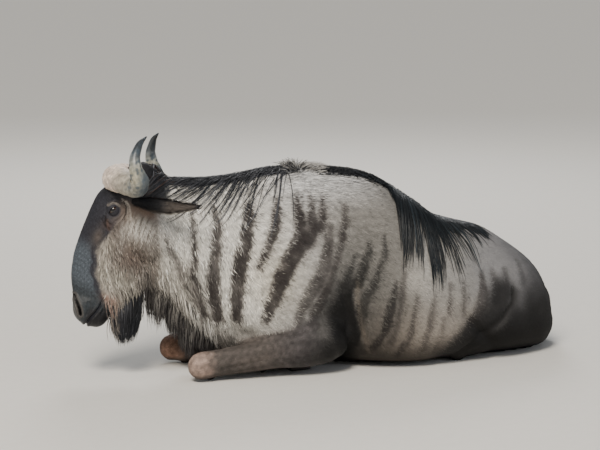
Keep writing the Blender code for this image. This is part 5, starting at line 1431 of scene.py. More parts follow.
CREST_LANES = (
    (-0.045, -0.005, 0.684, 0.5), (0.00, 0.050, 0.674, 0.5), (0.08, 0.130, 0.662, 0.5),
    (0.15, 0.190, 0.646, 0.5), (0.20, 0.228, 0.622, 0.6), (0.230, 0.234, 0.590, 0.7),
    (0.246, 0.220, 0.470, 0.9), (0.260, 0.208, 0.366, 0.97), (0.280, 0.232, 0.358, 0.97),
    (0.302, 0.275, 0.350, 0.97), (0.324, 0.325, 0.330, 0.95), (0.345, 0.352, 0.340, 0.80),
    (0.365, 0.385, 0.336, 0.45), (0.39, 0.425, 0.330, 0.25), (0.42, 0.478, 0.330, 0.10),
    (0.45, 0.505, 0.365, 0.10), (0.49, 0.535, 0.425, 0.3), (0.55, 0.60, 0.428, 0.5),
)
CREST_SHORT = ((-0.07, 0.42), (0.60, 0.42))
CREST_THICKNESS = ((-0.07, 0.011), (0.02, 0.013), (0.20, 0.016), (0.34, 0.013), (0.46, 0.007), (0.55, 0.003))
HAIR_GLINT = "#66676D"
NAPE_BROWN = "#2B211D"
NAPE_BROWN_GLINT = "#55413A"
ROOT_SUNK = 0.002
long_hair = hair_material("long_coarse_hair", roughness=0.42, streak_mm=4.0)


def nearest_on_skin(points):
    """The nearest skin points, their outward ways and map places for many points."""
    found, facing, places = [], [], []
    for point in points:
        hit, normal, face, _ = surface.find_nearest(Vector(point))
        found.append(hit)
        facing.append(normal)
        places.append(skin_map[skin_mesh.polygons[face].loop_start])
    return np.array(found), np.array(facing), np.array(places)


def lock_frames(paths, hint):
    """Across and upward ways of locks whose broad side faces the hint."""
    ways = unit(np.gradient(paths, axis=1))
    across = unit(np.cross(np.broadcast_to(hint, paths.shape), ways))
    return across, np.cross(ways, across)


def lock_tones(count, stations, colour, glint, share_of_glints):
    """Locks of one colour, of which some are nearer to the glint, each darker at its root."""
    amount = np.clip(chance.normal(share_of_glints, 0.22, count), 0, 1) ** 1.5
    base = np.array(hex_shares(colour))
    tones = base + (np.array(hex_shares(glint)) - base) * amount[:, None]
    shade = np.linspace(0.85, 1.1, stations)
    return tones[:, None] * shade[None, :, None]


def angle_at_height(x, height):
    """The angle round the trunk, on the left, at which its side at x has this height."""
    angles = np.linspace(90, 180, 181)
    heights = round_trunk(x, np.radians(angles))[:, 2]
    return float(np.interp(-height, -heights, angles))


def ridge_locks(name, count, lanes, thickness, short, bundles, far_share, brown_before=-1.0, loose=False):
    """Locks rooted along the ridge, each following the lane of its root and gathering with its bundle.
    Some in front of brown_before are brown, and loose locks end further from their lane."""
    root_x = chance.uniform(lanes[0][0], lanes[-1][0], count)
    lane_x = [lane[0] for lane in lanes]
    end_x = smooth_curve([(lane[0], lane[1]) for lane in lanes])
    end_angle = smooth_curve([(lane[0], angle_at_height(lane[1], lane[2])) for lane in lanes])
    long_share = smooth_curve([(lane[0], lane[3]) for lane in lanes])
    bundle_x = np.sort(chance.uniform(lane_x[0], lane_x[-1], bundles))
    bundle_reach = chance.uniform(0.78, 1.04, bundles)
    mine = np.abs(root_x[:, None] - bundle_x[None]).argmin(1)
    gather = chance.uniform(0.45, 0.98, count)
    led_x = root_x + (bundle_x[mine] - root_x) * gather
    on_far = chance.random(count) < far_share
    root_angle = 90 + chance.normal(0, 1, count) * 5.0 + np.where(on_far, -4.0, 4.0)
    is_long = chance.random(count) < long_share(root_x)
    brief = chance.uniform(0.4, 1.0, count) * smooth_curve(short)(root_x)
    reach = np.where(is_long, 1.05 - 0.60 * chance.random(count) ** 1.5, brief)
    fall = (end_angle(led_x) - 90) * bundle_reach[mine] * reach
    fall = np.where(on_far, -0.55 * fall, fall)
    last_angle = root_angle + fall
    last_x = led_x + (end_x(led_x) - led_x) * (0.25 + 0.80 * reach)
    last_x = last_x + chance.normal(0, 0.005, count) * np.where(on_far | loose, 3.0, 1.0)
    t = np.linspace(0, 1, LONG_STATIONS)
    sway = chance.normal(0, 0.006, count)[:, None] * np.sin(t * math.pi)
    x = root_x[:, None] + (last_x - root_x)[:, None] * t ** 1.05 + sway
    angles = root_angle[:, None] + (last_angle - root_angle)[:, None] * (1 - (1 - t) ** 1.15)
    paths = round_trunk(x.ravel(), np.radians(angles.ravel()))
    hits, facing, places = nearest_on_skin(paths)
    layer = chance.random(count)[:, None]
    height = 0.0015 + layer * smooth_curve(thickness)(root_x)[:, None] * (0.25 + 0.75 * (1 - t) ** 0.8)
    height[:, 0] = -ROOT_SUNK
    paths = (hits + facing * height.reshape(-1)[:, None]).reshape(count, LONG_STATIONS, 3)
    hint = facing.reshape(count, LONG_STATIONS, 3)
    across, upward = lock_frames(paths, hint)
    profile = np.array([0.8, 1.0, 1.02, 1.02, 0.98, 0.86, 0.58])
    on_neck = root_x < -0.09
    widths = chance.uniform(0.0018, 0.0044, count) * np.where(on_neck, 0.74, 1.0)
    widths = widths[:, None] * profile
    tones = lock_tones(count, LONG_STATIONS, MANE_BLACK, HAIR_GLINT, np.where(on_neck, 0.42, 0.16))
    in_fan = ramp(root_x, 0.05, 0.24)[:, None, None]
    tones = tones * (1 - in_fan * np.array([0.50, 0.38, 0.34]))
    brown = (root_x < brown_before) & (chance.random(count) < 0.24)
    tones[brown] = lock_tones(int(brown.sum()), LONG_STATIONS, NAPE_BROWN, NAPE_BROWN_GLINT, 0.5)
    patches = places.reshape(count, LONG_STATIONS, 2)[:, 0]
    piece = blades(
        name, paths, across, upward, widths, thickness=0.32, roundness=0.9, tones=tones, patches=patches,
        material=long_hair,
    )
    return piece


mane = ridge_locks(
    "mane_locks", MANE_LOCKS, MANE_LANES, MANE_THICKNESS, MANE_SHORT, bundles=40, far_share=0.34,
    brown_before=-0.52,
)
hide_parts("mane")
ridge_locks(
    "mane_stray_locks", MANE_STRAY_LOCKS, MANE_STRAY_LANES, MANE_THICKNESS, MANE_SHORT, bundles=30,
    far_share=0.15, loose=True,
)
crest = ridge_locks(
    "crest_locks", CREST_LOCKS, CREST_LANES, CREST_THICKNESS, CREST_SHORT, bundles=130, far_share=0.25,
)
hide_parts("back_crest")

# Hair of the hump. Between mane and crest the ridge carries grey hair that stands half up, with a few
# black hairs of the mane in front.
HUMP_LOCKS = 520
HUMP_STATIONS = 5
HUMP_ENDS = (-0.135, -0.020)
HUMP_GREY = "#8F8C88"
HUMP_GLINT = "#C9C7C2"
hump_x = chance.uniform(*HUMP_ENDS, HUMP_LOCKS)
hump_roots = round_trunk(hump_x, np.radians(90 + chance.normal(0, 7, HUMP_LOCKS)))
hits, facing, places = nearest_on_skin(hump_roots)
dark = chance.random(HUMP_LOCKS) < 0.55 * ramp(hump_x, -0.06, -0.10) + 0.10
length = chance.uniform(0.018, 0.038, HUMP_LOCKS) * (1 + 0.45 * ramp(np.abs(hump_x + 0.105), 0.035, 0.010))
lean = np.where(hump_x < -0.085, -0.5, 0.9) + chance.normal(0, 0.35, HUMP_LOCKS)
stand = unit(facing + np.stack([lean, chance.normal(-0.05, 0.25, HUMP_LOCKS), 0 * lean], -1))
droop = np.stack([lean * 0.5, 0 * lean, -0.25 + 0 * lean], -1)
t = np.linspace(-0.06, 1, HUMP_STATIONS)[None, :, None]
paths = hits[:, None] + (stand[:, None] * t + droop[:, None] * np.maximum(t, 0) ** 2) * length[:, None, None]
across, upward = lock_frames(paths, np.broadcast_to(np.array([0.2, -1.0, 0.3]), (HUMP_LOCKS, 1, 3)))
tones = lock_tones(HUMP_LOCKS, HUMP_STATIONS, HUMP_GREY, HUMP_GLINT, 0.5)
tones[dark] = lock_tones(int(dark.sum()), HUMP_STATIONS, MANE_BLACK, HAIR_GLINT, 0.2)
widths = chance.uniform(0.0012, 0.0022, HUMP_LOCKS)[:, None] * np.array([1.0, 0.95, 0.8, 0.5])
hump = blades(
    "hump_locks", paths, across, upward, widths, thickness=0.32, roundness=0.8, tones=tones, patches=places,
    material=long_hair,
)

# The jaw's own hair: pale and grey locks that hang from the edge of the cheek and the throat and hide the
# roots of the beard. The underside of head and neck is (x, height).
JAW_LOCKS = 3000
JAW_STATIONS = 6
JAW_DARK = "#2C2A2B"
JAW_DARK_GLINT = "#6A655F"
UNDERSIDE = (
    (-0.80, 0.235), (-0.76, 0.200), (-0.724, 0.235), (-0.692, 0.265), (-0.637, 0.300), (-0.60, 0.290),
    (-0.56, 0.250), (-0.50, 0.185), (-0.44, 0.120), (-0.38, 0.060), (-0.32, 0.012),
)


def lower_roots(count, allowed, steepest):
    """Random roots where a skin triangle is allowed and faces down, as far round as its steepest height."""
    facing = skin_outward[corner_points].mean(1)
    return scatter(areas * allowed * ramp(facing[:, 2], steepest, steepest - 0.35), count)


def falling_locks(name, roots, normals, places, ends, bow, widths, thickness, tones):
    """Locks that leave the skin along it and then fall to their ends, each bowed by its own vector."""
    count, stations = tones.shape[:2]
    t = np.linspace(0, 1, stations)[None, :, None]
    starts = roots - normals * ROOT_SUNK
    paths = starts[:, None] * (1 - t) + ends[:, None] * t + bow[:, None] * np.sin(t * math.pi)
    paths = paths + normals[:, None] * 0.006 * (np.sin(np.minimum(t * 2.2, 1.0) * math.pi / 2) * (1 - t))
    paths[..., 2] = np.maximum(paths[..., 2], 0.001)
    turn = chance.uniform(0, 2 * math.pi, count)
    hint = np.stack([np.cos(turn) * 0.6, np.sin(turn) * 0.6 - 1.0, 0 * turn], -1)
    across, upward = lock_frames(paths, hint[:, None])
    profile = 1 - 0.62 * np.linspace(0, 1, stations)[:-1] ** 2.2
    widths = widths[:, None] * profile
    piece = blades(
        name, paths, across, upward, widths, thickness=thickness, roundness=0.9, tones=tones, patches=places,
        material=long_hair,
    )
    return piece


down_face, _, _ = in_head(middles)
underside = smooth_curve(UNDERSIDE)
above_edge = middles[:, 2] - underside(middles[:, 0])
jaw_edge = ramp(above_edge, 0.085, 0.045) * ramp(down_face, 0.455, 0.430)
jaw_edge = jaw_edge * ramp(middles[:, 0], -0.40, -0.46) * (middles[:, 0] > -0.79) * (1 - on_legs(middles)[0])
roots_here, normals_here, places_here = lower_roots(JAW_LOCKS, jaw_edge, 0.35)
end_height = underside(roots_here[:, 0]) - 0.006 + chance.normal(0, 0.010, JAW_LOCKS)
drop = np.clip(roots_here[:, 2] - end_height, 0.014, 0.075) * chance.uniform(0.6, 1.05, JAW_LOCKS)
ends_here = roots_here + np.stack([
    0.20 * drop + chance.normal(0, 0.003, JAW_LOCKS), chance.normal(0, 0.003, JAW_LOCKS), -drop], -1)
tones = coat_colours(roots_here)[:, None] * chance.uniform(0.80, 1.32, JAW_LOCKS)[:, None, None]
tones = tones * np.linspace(1.0, 0.86, JAW_STATIONS)[None, :, None]
dark = chance.random(JAW_LOCKS) < 0.16
tones[dark] = lock_tones(int(dark.sum()), JAW_STATIONS, JAW_DARK, JAW_DARK_GLINT, 0.3)
bow = chance.normal(0, 0.003, (JAW_LOCKS, 3))
falling_locks(
    "jaw_hair_locks", roots_here, normals_here, places_here, ends_here, bow,
    widths=chance.uniform(0.0014, 0.0026, JAW_LOCKS), thickness=0.30, tones=tones,
)

# The beard: long black hair under the chin and the back of the jaw, paler in front, in a narrow tuft that
# hangs clear of the ground.
BEARD_LOCKS = 1700
BEARD_TIP = (-0.716, -0.020, 0.106)
BEARD_CENTRE = (-0.710, -0.016)
BEARD_HALF_LONG = 0.046
BEARD_HALF_WIDE = 0.030
BEARD_FRONT = "#5A544F"
BEARD_FRONT_GLINT = "#9C948A"

beard_off_x = (middles[:, 0] - BEARD_CENTRE[0]) / BEARD_HALF_LONG
beard_off_y = (middles[:, 1] - BEARD_CENTRE[1]) / BEARD_HALF_WIDE
on_chin = (beard_off_x ** 2 + beard_off_y ** 2 < 1) * (above_edge < 0.030)
roots_here, normals_here, places_here = lower_roots(BEARD_LOCKS, on_chin.astype(float), -0.30)
ring = np.stack([(roots_here[:, 0] - BEARD_CENTRE[0]) / BEARD_HALF_LONG,
                 (roots_here[:, 1] - BEARD_CENTRE[1]) / BEARD_HALF_WIDE], -1)
length_share = chance.beta(2.6, 1.25, BEARD_LOCKS)
target = np.array(BEARD_TIP) + np.stack([
    ring[:, 0] * BEARD_HALF_LONG * 0.78, ring[:, 1] * BEARD_HALF_WIDE * 0.8, 0.016 * np.abs(ring[:, 0])], -1)
ends_here = roots_here + (target - roots_here) * length_share[:, None]
ends_here += chance.normal(0, 0.0055, ends_here.shape) * (0.5 + 0.5 * length_share)[:, None]
bow = np.stack([ring[:, 0] * 0.016, ring[:, 1] * 0.012, 0 * length_share], -1)
bow += chance.normal(0, 0.004, bow.shape)
tones = lock_tones(BEARD_LOCKS, LONG_STATIONS, MANE_BLACK, HAIR_GLINT, 0.14)
greyness = chance.uniform(0.1, 0.9, BEARD_LOCKS) * ramp(ring[:, 0], 0.7, 0.1)
greyness = greyness[:, None] * np.clip(1.3 - 1.5 * np.linspace(0, 1, LONG_STATIONS), 0, 1)
tones = tones * (1 - greyness[..., None]) + 0.50 * greyness[..., None] * np.array([0.98, 0.98, 1.02])
pale = (ring[:, 0] < -0.35) & (chance.random(BEARD_LOCKS) < 0.42)
tones[pale] = lock_tones(int(pale.sum()), LONG_STATIONS, BEARD_FRONT, BEARD_FRONT_GLINT, 0.6)
wisps = (ring[:, 0] < -0.35) & (chance.random(BEARD_LOCKS) < 0.16)
ends_here[wisps] += np.array([-0.020, 0.0, 0.012])
beard = falling_locks(
    "beard_locks", roots_here, normals_here, places_here, ends_here, bow,
    widths=chance.uniform(0.0014, 0.0030, BEARD_LOCKS), thickness=0.35, tones=tones,
)
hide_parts("beard")

# The throat fringe: a ragged curtain along the middle of throat and brisket, pale or grey at the root
# and black at the tips, longest under the jaw and thinning where the chest meets the ground. Its tips are
# (x, height).
FRINGE_LOCKS = 3600
FRINGE_STATIONS = 7
FRINGE_TIPS = (
    (-0.665, 0.165), (-0.650, 0.146), (-0.615, 0.140), (-0.585, 0.138), (-0.560, 0.132), (-0.525, 0.095),
    (-0.488, 0.034), (-0.450, 0.046), (-0.41, 0.030), (-0.37, 0.012),
)
FRINGE_HALF_WIDTH = 0.055
FRINGE_BUNDLES = 56
FRINGE_DARK = "#272527"
FRINGE_GLINT = "#6A6561"

fringe_off = np.abs(middles[:, 1] - mid_line(middles[:, 0]))
on_throat = ramp(fringe_off, FRINGE_HALF_WIDTH, 0.03) * (0.26 * ramp(middles[:, 0], -0.670, -0.655)
                                                         + 0.74 * ramp(middles[:, 0], -0.605, -0.565))
on_throat = on_throat * ramp(middles[:, 0], -0.34, -0.38) * (middles[:, 2] < 0.43) * (middles[:, 2] > 0.02)
on_throat = on_throat * ramp(above_edge, 0.055, 0.030) * (1 - on_legs(middles)[0])
roots_here, normals_here, places_here = lower_roots(FRINGE_LOCKS, on_throat, 0.10)
bundle_at = np.sort(chance.uniform(-0.67, -0.36, FRINGE_BUNDLES))
bundle_length = chance.uniform(0.66, 1.06, FRINGE_BUNDLES)
mine = np.abs(roots_here[:, :1] - bundle_at[None]).argmin(1)
tip_x = roots_here[:, 0] + (bundle_at[mine] - roots_here[:, 0]) * 0.65 - 0.006
tip_z = smooth_curve(FRINGE_TIPS)(tip_x)
reach = chance.beta(3.2, 1.5, FRINGE_LOCKS) * bundle_length[mine]
drop = np.clip((roots_here[:, 2] - tip_z) * reach, 0.02, 0.19)
inward = mid_line(tip_x) - roots_here[:, 1]
ends_here = np.stack([
    tip_x + chance.normal(0, 0.004, FRINGE_LOCKS),
    roots_here[:, 1] + inward * 0.35 * reach + chance.normal(0, 0.004, FRINGE_LOCKS),
    roots_here[:, 2] - drop], -1)
bow = chance.normal(0, 0.0035, (FRINGE_LOCKS, 3)) + np.array([-0.004, 0.0, 0.0])
pale_root = coat_colours(roots_here)[:, None] * chance.uniform(0.50, 0.95, FRINGE_LOCKS)[:, None, None]
darker_by = chance.normal(0.02, 0.34, FRINGE_LOCKS)[:, None]
darkening = np.clip(np.linspace(0, 1, FRINGE_STATIONS)[None] * 1.15 + darker_by, 0, 1)
tones = pale_root * (1 - darkening[..., None])
dark_hair = lock_tones(FRINGE_LOCKS, FRINGE_STATIONS, FRINGE_DARK, FRINGE_GLINT, 0.25)
tones = tones + dark_hair * darkening[..., None]
fringe = falling_locks(
    "throat_fringe_locks", roots_here, normals_here, places_here, ends_here, bow,
    widths=chance.uniform(0.0013, 0.0027, FRINGE_LOCKS), thickness=0.32, tones=tones,
)
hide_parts("throat_fringe")

# The tail's tuft: a horse-like switch of black hair from the end of the dock, lying along the ground
# behind the haunches. Its line is (x, y, z, radius).
TAIL_LOCKS = 1100
TAIL_BLACK = "#101113"
TAIL_GLINT = "#4A4540"
TAIL_LINE = (
    (0.856, -0.034, 0.135, 0.016), (0.866, -0.026, 0.085, 0.024), (0.866, 0.005, 0.042, 0.029),
    (0.852, 0.070, 0.026, 0.030), (0.822, 0.150, 0.019, 0.026), (0.778, 0.225, 0.013, 0.018),
    (0.735, 0.290, 0.008, 0.007),
)
line = along(TAIL_LINE, per_span=8)


def on_tail_line(values):
    """Values known for each point of the tail's line, at the place of each station of each lock."""
    index = np.arange(len(line))
    return np.stack([np.interp(t * (len(line) - 1), index, column) for column in values.T], -1)


line_across, line_up, _ = carried_frames(line[:, :3], (0.0, 1.0, 0.0))
begin = chance.beta(1.0, 3.0, TAIL_LOCKS) * 0.42
finish_at = np.clip(begin + chance.uniform(0.35, 0.75, TAIL_LOCKS), 0, 1)
t = begin[:, None] + (finish_at - begin)[:, None] * np.linspace(0, 1, LONG_STATIONS)
centre, wide = on_tail_line(line[:, :3]), on_tail_line(line[:, 3:])[..., 0]
side_way, up_way = on_tail_line(line_across), on_tail_line(line_up)
down_lock = np.linspace(0, 1, LONG_STATIONS)
spin = chance.uniform(0, 2 * math.pi, TAIL_LOCKS)[:, None]
spin = spin + chance.normal(0, 0.5, TAIL_LOCKS)[:, None] * down_lock
splay = 1 + chance.normal(0.25, 0.30, TAIL_LOCKS)[:, None] * down_lock ** 2
far_out = np.sqrt(chance.random(TAIL_LOCKS))[:, None] * splay
paths = centre + side_way * (np.cos(spin) * far_out * wide)[..., None]
paths = paths + up_way * (np.sin(spin) * far_out * wide)[..., None]
paths[..., 2] = np.maximum(paths[..., 2], 0.0015)
hint = side_way * np.cos(spin)[..., None] + up_way * np.sin(spin)[..., None]
across, upward = lock_frames(paths, hint)
widths = chance.uniform(0.0025, 0.0050, TAIL_LOCKS)[:, None]
widths = widths * np.array([0.8, 1.0, 1.0, 0.95, 0.85, 0.65, 0.4])
_, _, places = nearest_on_skin(paths[:, 0])
tones = lock_tones(TAIL_LOCKS, LONG_STATIONS, TAIL_BLACK, TAIL_GLINT, 0.18)
tail = blades(
    "tail_locks", paths, across, upward, widths, thickness=0.35, roundness=0.9, tones=tones, patches=places,
    material=long_hair,
)
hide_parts("tail_tuft")

# Horns: keratin over bone. The two bosses meet over the brow, rough and pinkish beige; each horn sweeps
# out and down, turns up at a smooth grey bend and ends in a dark polished point. Stations are (down the
# face, out, forward, radius) on the head, and tones are (number of the station, colour).
HORN_STATIONS = (
    (0.041, 0.006, 0.062, 0.040), (0.038, 0.045, 0.059, 0.0455), (0.030, 0.105, 0.039, 0.0435),
    (0.026, 0.165, 0.006, 0.0400), (0.020, 0.218, -0.029, 0.0365), (0.000, 0.254, -0.034, 0.0312),
    (-0.033, 0.267, -0.009, 0.0228), (-0.072, 0.256, 0.010, 0.0168), (-0.108, 0.234, 0.013, 0.0118),
    (-0.140, 0.204, 0.004, 0.0030),
)
HORN_SIDES = 64
HORN_TONES = (
    (0.0, "#C2B1A5"), (1.0, "#DCCABB"), (1.9, "#D5C4B5"), (2.4, "#BDB0A2"), (2.9, "#A2998C"),
    (3.6, "#979184"), (4.6, "#86847A"), (5.6, "#A29D89"), (6.3, "#8B8B82"), (6.9, "#5A5F62"),
    (7.6, "#363C41"), (9.0, "#1B1D20"),
)
HORN_SHADOW = "#3A434B"
HORN_SMUDGE = "#39434C"
GROWTH_RING_HEIGHT = 0.0006
BOSS_GROOVE_DEPTH = 0.0012
BOSS_LUMP_HEIGHT = 0.0016
HORN_GRAIN_MM = 2.4
HORN_GROWTH_MM = 12.0
HORN_STREAK_MM = 5.0

# Keratin: the horn's own tone, clouded and streaked along its fibres, rough on the bosses and polished
# towards the point.
horn_keratin, tree, shader = new_material("horn_keratin")
place = add_node(tree, "ShaderNodeTexCoord", {}, {})
tone = add_node(tree, "ShaderNodeAttribute", {"attribute_name": "tone"}, {})
rough_part = add_node(tree, "ShaderNodeAttribute", {"attribute_name": "bare"}, {})
grain = add_node(
    tree, "ShaderNodeTexNoise", {},
    {"Vector": place.outputs["Object"], "Scale": 1000 / HORN_GRAIN_MM, "Detail": 4.0, "Roughness": 0.65},
)
cloud = add_node(
    tree, "ShaderNodeTexNoise", {},
    {"Vector": place.outputs["Object"], "Scale": 1000 / HORN_GROWTH_MM, "Detail": 4.0, "Roughness": 0.7},
)
fibre_place = add_node(tree, "ShaderNodeAttribute", {"attribute_name": "fibre_place"}, {})
fibre = add_node(
    tree, "ShaderNodeTexNoise", {},
    {"Vector": fibre_place.outputs["Vector"], "Scale": 1000 / HORN_STREAK_MM, "Detail": 3.0},
)
both = add_node(
    tree, "ShaderNodeMath", {"operation": "ADD"}, {0: cloud.outputs["Fac"], 1: fibre.outputs["Fac"]},
)
cloud_tone = add_node(
    tree, "ShaderNodeMapRange", {},
    {"Value": both.outputs[0], "From Min": 0.65, "From Max": 1.35, "To Min": 0.66, "To Max": 1.36},
)
tinted = add_node(
    tree, "ShaderNodeMix", {"data_type": "RGBA", "blend_type": "MULTIPLY"},
    {"Factor": 1.0, 6: tone.outputs["Color"], 7: cloud_tone.outputs["Result"]},
)
height = add_node(
    tree, "ShaderNodeMath", {"operation": "MULTIPLY"},
    {0: grain.outputs["Fac"], 1: rough_part.outputs["Fac"]},
)
bump = add_node(
    tree, "ShaderNodeBump", {}, {"Height": height.outputs[0], "Strength": 0.8, "Distance": 0.0024},
)
gloss = add_node(
    tree, "ShaderNodeMapRange", {}, {"Value": rough_part.outputs["Fac"], "To Min": 0.30, "To Max": 0.62},
)
tree.links.new(tinted.outputs[2], shader.inputs["Base Color"])
tree.links.new(bump.outputs["Normal"], shader.inputs["Normal"])
tree.links.new(gloss.outputs["Result"], shader.inputs["Roughness"])


def loft_mesh(name, rings):
    """A mesh of one closed loft through rings, facing outward."""
    bm = bmesh.new()
    add_loft(bm, rings)
    bmesh.ops.recalc_face_normals(bm, faces=bm.faces)
    return finished_mesh(bm, name)


for side, label in ((-1, "right"), (1, "left")):
    table = along(HORN_STATIONS, per_span=16)
    middle, radii = table[:, :3].copy(), table[:, 3]
    travel = np.linspace(0, len(HORN_STATIONS) - 1, len(table))
    across, upward, _ = carried_frames(middle, (1.0, 0.0, 0.0))
    angles = ring_angles(HORN_SIDES)
    ring_places = (
        np.cos(angles)[None, :, None] * across[:, None] + np.sin(angles)[None, :, None] * upward[:, None]
    )
    flat = middle[:, None] + ring_places * radii[:, None, None]
    lumps = mottled(flat.reshape(-1, 3), 0.016, 31) + 0.6 * mottled(flat.reshape(-1, 3), 0.007, 32)
    rough_share = ramp(travel, 5.2, 1.5)[:, None]
    growth_rings = GROWTH_RING_HEIGHT * np.sin(travel * 9.0) * ramp(travel, 1.5, 3.0) * ramp(travel, 7.0, 5.5)
    groove = BOSS_GROOVE_DEPTH * bell(travel - 2.25, 0.22)[:, None]
    swell = BOSS_LUMP_HEIGHT * lumps.reshape(flat.shape[:2]) * rough_share + growth_rings[:, None] - groove
    flat = middle[:, None] + ring_places * (radii[:, None] + swell - 0.0006)[..., None]
    flat[..., 1] *= side
    mesh = loft_mesh("horn_shell_" + label, on_head(flat))
    tones = np.repeat(tone_curve(HORN_TONES)(travel)[:, None], HORN_SIDES, axis=1).reshape(-1, 3)
    places = flat.reshape(-1, 3)
    tones = tones * (1 + 0.10 * mottled(places, 0.012, 33) + 0.10 * mottled(places, 0.03, 34))[:, None]
    turned_back = ramp(ring_places[..., 2], 0.2, -0.8)
    turned_back = turned_back * ramp(travel, 3.0, 4.0)[:, None] * ramp(travel, 6.2, 5.4)[:, None]
    tones = stained(tones, HORN_SHADOW, 0.80 * turned_back.ravel())
    smudge = np.clip(mottled(places, 0.020, 35) * 1.8 - 0.4, 0, 1)
    smudge = smudge * np.repeat(ramp(travel, 3.2, 4.2), HORN_SIDES)
    tones = stained(tones, HORN_SMUDGE, 0.75 * smudge)
    set_tones(mesh, tones)
    fibre_line = mesh.attributes.new("fibre_place", "FLOAT_VECTOR", "POINT")
    along_it = np.concatenate([[0], np.cumsum(np.linalg.norm(np.diff(middle, axis=0), axis=1))])
    fibre_points = np.concatenate([
        (np.stack([np.cos(angles), np.sin(angles)], -1)[None] * 0.022 * np.ones((len(table), 1, 1))),
        np.broadcast_to(along_it[:, None, None] * 0.10, (len(table), HORN_SIDES, 1))], -1)
    fibre_line.data.foreach_set("vector", fibre_points.ravel())
    set_bareness(mesh, np.repeat(0.15 + 0.85 * rough_share[:, 0], HORN_SIDES))
    horn = smooth_piece("horn_shell_" + label, mesh, horn_keratin)
    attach(horn, "root")
    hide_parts("horn_" + label)

# Ears: thin leaves of skin-covered cartilage that hang out and back below the horns, charcoal above with
# a pale rim, tan within, and fringed with fine hair. Stations are (down the face, out, forward, half
# width, half thickness).
EAR_STATIONS = (
    (0.082, 0.074, -0.020, 0.017, 0.014), (0.076, 0.090, -0.048, 0.019, 0.012),
    (0.066, 0.108, -0.088, 0.031, 0.009), (0.055, 0.124, -0.128, 0.033, 0.008),
    (0.040, 0.140, -0.170, 0.026, 0.007), (0.024, 0.152, -0.206, 0.014, 0.005),
    (0.010, 0.160, -0.236, 0.003, 0.002),
)
RIGHT_EAR_SWING = 42.0
EAR_SIDES = 24
EAR_TUFTS = 3000
EAR_CHARCOAL = "#1F1F22"
EAR_BACK = "#5E564F"
EAR_INSIDE = "#8A664E"
EAR_RIM = "#9A9086"
EAR_TIP = "#1E1D20"

ear_tufts = []
for side, label in ((-1, "right"), (1, "left")):
    table = along(EAR_STATIONS, per_span=7)
    swing = math.radians(RIGHT_EAR_SWING if side < 0 else 0.0)
    root_out, root_forward = EAR_STATIONS[0][1:3]
    down, out, forward, half, thick = table.T
    angles = ring_angles(EAR_SIDES)
    travel = np.linspace(0, 1, len(table))
    cup = 0.75 * np.sin(np.clip(travel * 1.1, 0, 1) * math.pi)[:, None]
    across = np.cos(angles)[None] * half[:, None] * 0.68
    lift = np.sin(angles)[None] * thick[:, None] * 0.92
    hollow = cup * thick[:, None] * 1.3 * np.abs(np.sin(angles))[None]
    lift = lift + np.where(np.sin(angles)[None] < 0, hollow, 0.0)
    outward_place = out[:, None] + lift + across * 0.25 - root_out
    onward = forward[:, None] - across * 0.20 - root_forward
    swung_out = root_out + outward_place * math.cos(swing) - onward * math.sin(swing)
    swung_on = root_forward + onward * math.cos(swing) + outward_place * math.sin(swing)
    rings = on_head(np.stack([down[:, None] + across * 0.93, swung_out * side, swung_on], -1))
    mesh = loft_mesh("ear_leaf_" + label, rings)
    rim = np.abs(np.cos(angles))[None] ** 6 * np.ones((len(table), 1))
    inner = ramp(np.sin(angles), 0.0, -0.4)[None] * np.ones((len(table), 1))
    tones = stained(np.zeros((rings.size // 3, 3)), EAR_CHARCOAL, 1.0)
    leaf = (1 - rim) * ramp(travel, 0.38, 0.62)[:, None] * ramp(travel, 0.98, 0.88)[:, None]
    tones = stained(tones, EAR_BACK, 0.80 * leaf.ravel())
    tones = stained(tones, EAR_INSIDE, 0.85 * inner.ravel())
    pale_rim = 0.65 * rim * (np.cos(angles)[None] > 0) * ramp(travel, 0.15, 0.35)[:, None]
    tones = stained(tones, EAR_RIM, pale_rim.ravel())
    tones = stained(tones, EAR_TIP, np.repeat(ramp(travel, 0.85, 1.0), EAR_SIDES))
    set_tones(mesh, tones)
    set_bareness(mesh, np.zeros(len(mesh.vertices)))
    ear = smooth_piece("ear_leaf_" + label, mesh, hide)
    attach(ear, "root")
    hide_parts("ear_" + label)
    chosen_ring = (chance.beta(1.3, 1.1, EAR_TUFTS) * (len(table) - 2)).astype(int)
    chosen_side = chance.integers(0, EAR_SIDES, EAR_TUFTS)
    start = rings[chosen_ring, chosen_side]
    beside = rings[chosen_ring, (chosen_side + 1) % EAR_SIDES]
    further = rings[chosen_ring + 1, chosen_side]
    way = unit(further - start)
    sideward, onward = (beside - start), (further - start)
    start = start + sideward * chance.random(EAR_TUFTS)[:, None] + onward * chance.random(EAR_TUFTS)[:, None]
    normal = unit(start - rings[chosen_ring].mean(1))
    sideways = unit(np.cross(normal, way))
    at_rim = rim[chosen_ring, chosen_side]
    size = (0.008 + 0.008 * at_rim) * chance.uniform(0.7, 1.3, EAR_TUFTS)
    steps = np.array([-0.05, 0.5, 1.0])
    rise = np.array([-0.05, 0.12, 0.22])
    ear_paths = start[:, None] + way[:, None] * (size[:, None] * steps)[..., None]
    ear_paths = ear_paths + normal[:, None] * (size[:, None] * rise * (1 + at_rim[:, None]))[..., None]
    tone = tones.reshape(len(table), EAR_SIDES, 3)[chosen_ring, chosen_side]
    tone = tone * chance.uniform(0.8, 1.25, EAR_TUFTS)[:, None]
    shades = tone[:, None] * np.array([0.85, 1.0, 1.15])[None, :, None]
    sideways, normal = np.repeat(sideways[:, None], 3, 1), np.repeat(normal[:, None], 3, 1)
    ear_tufts.append((ear_paths, sideways, normal, size, shades))

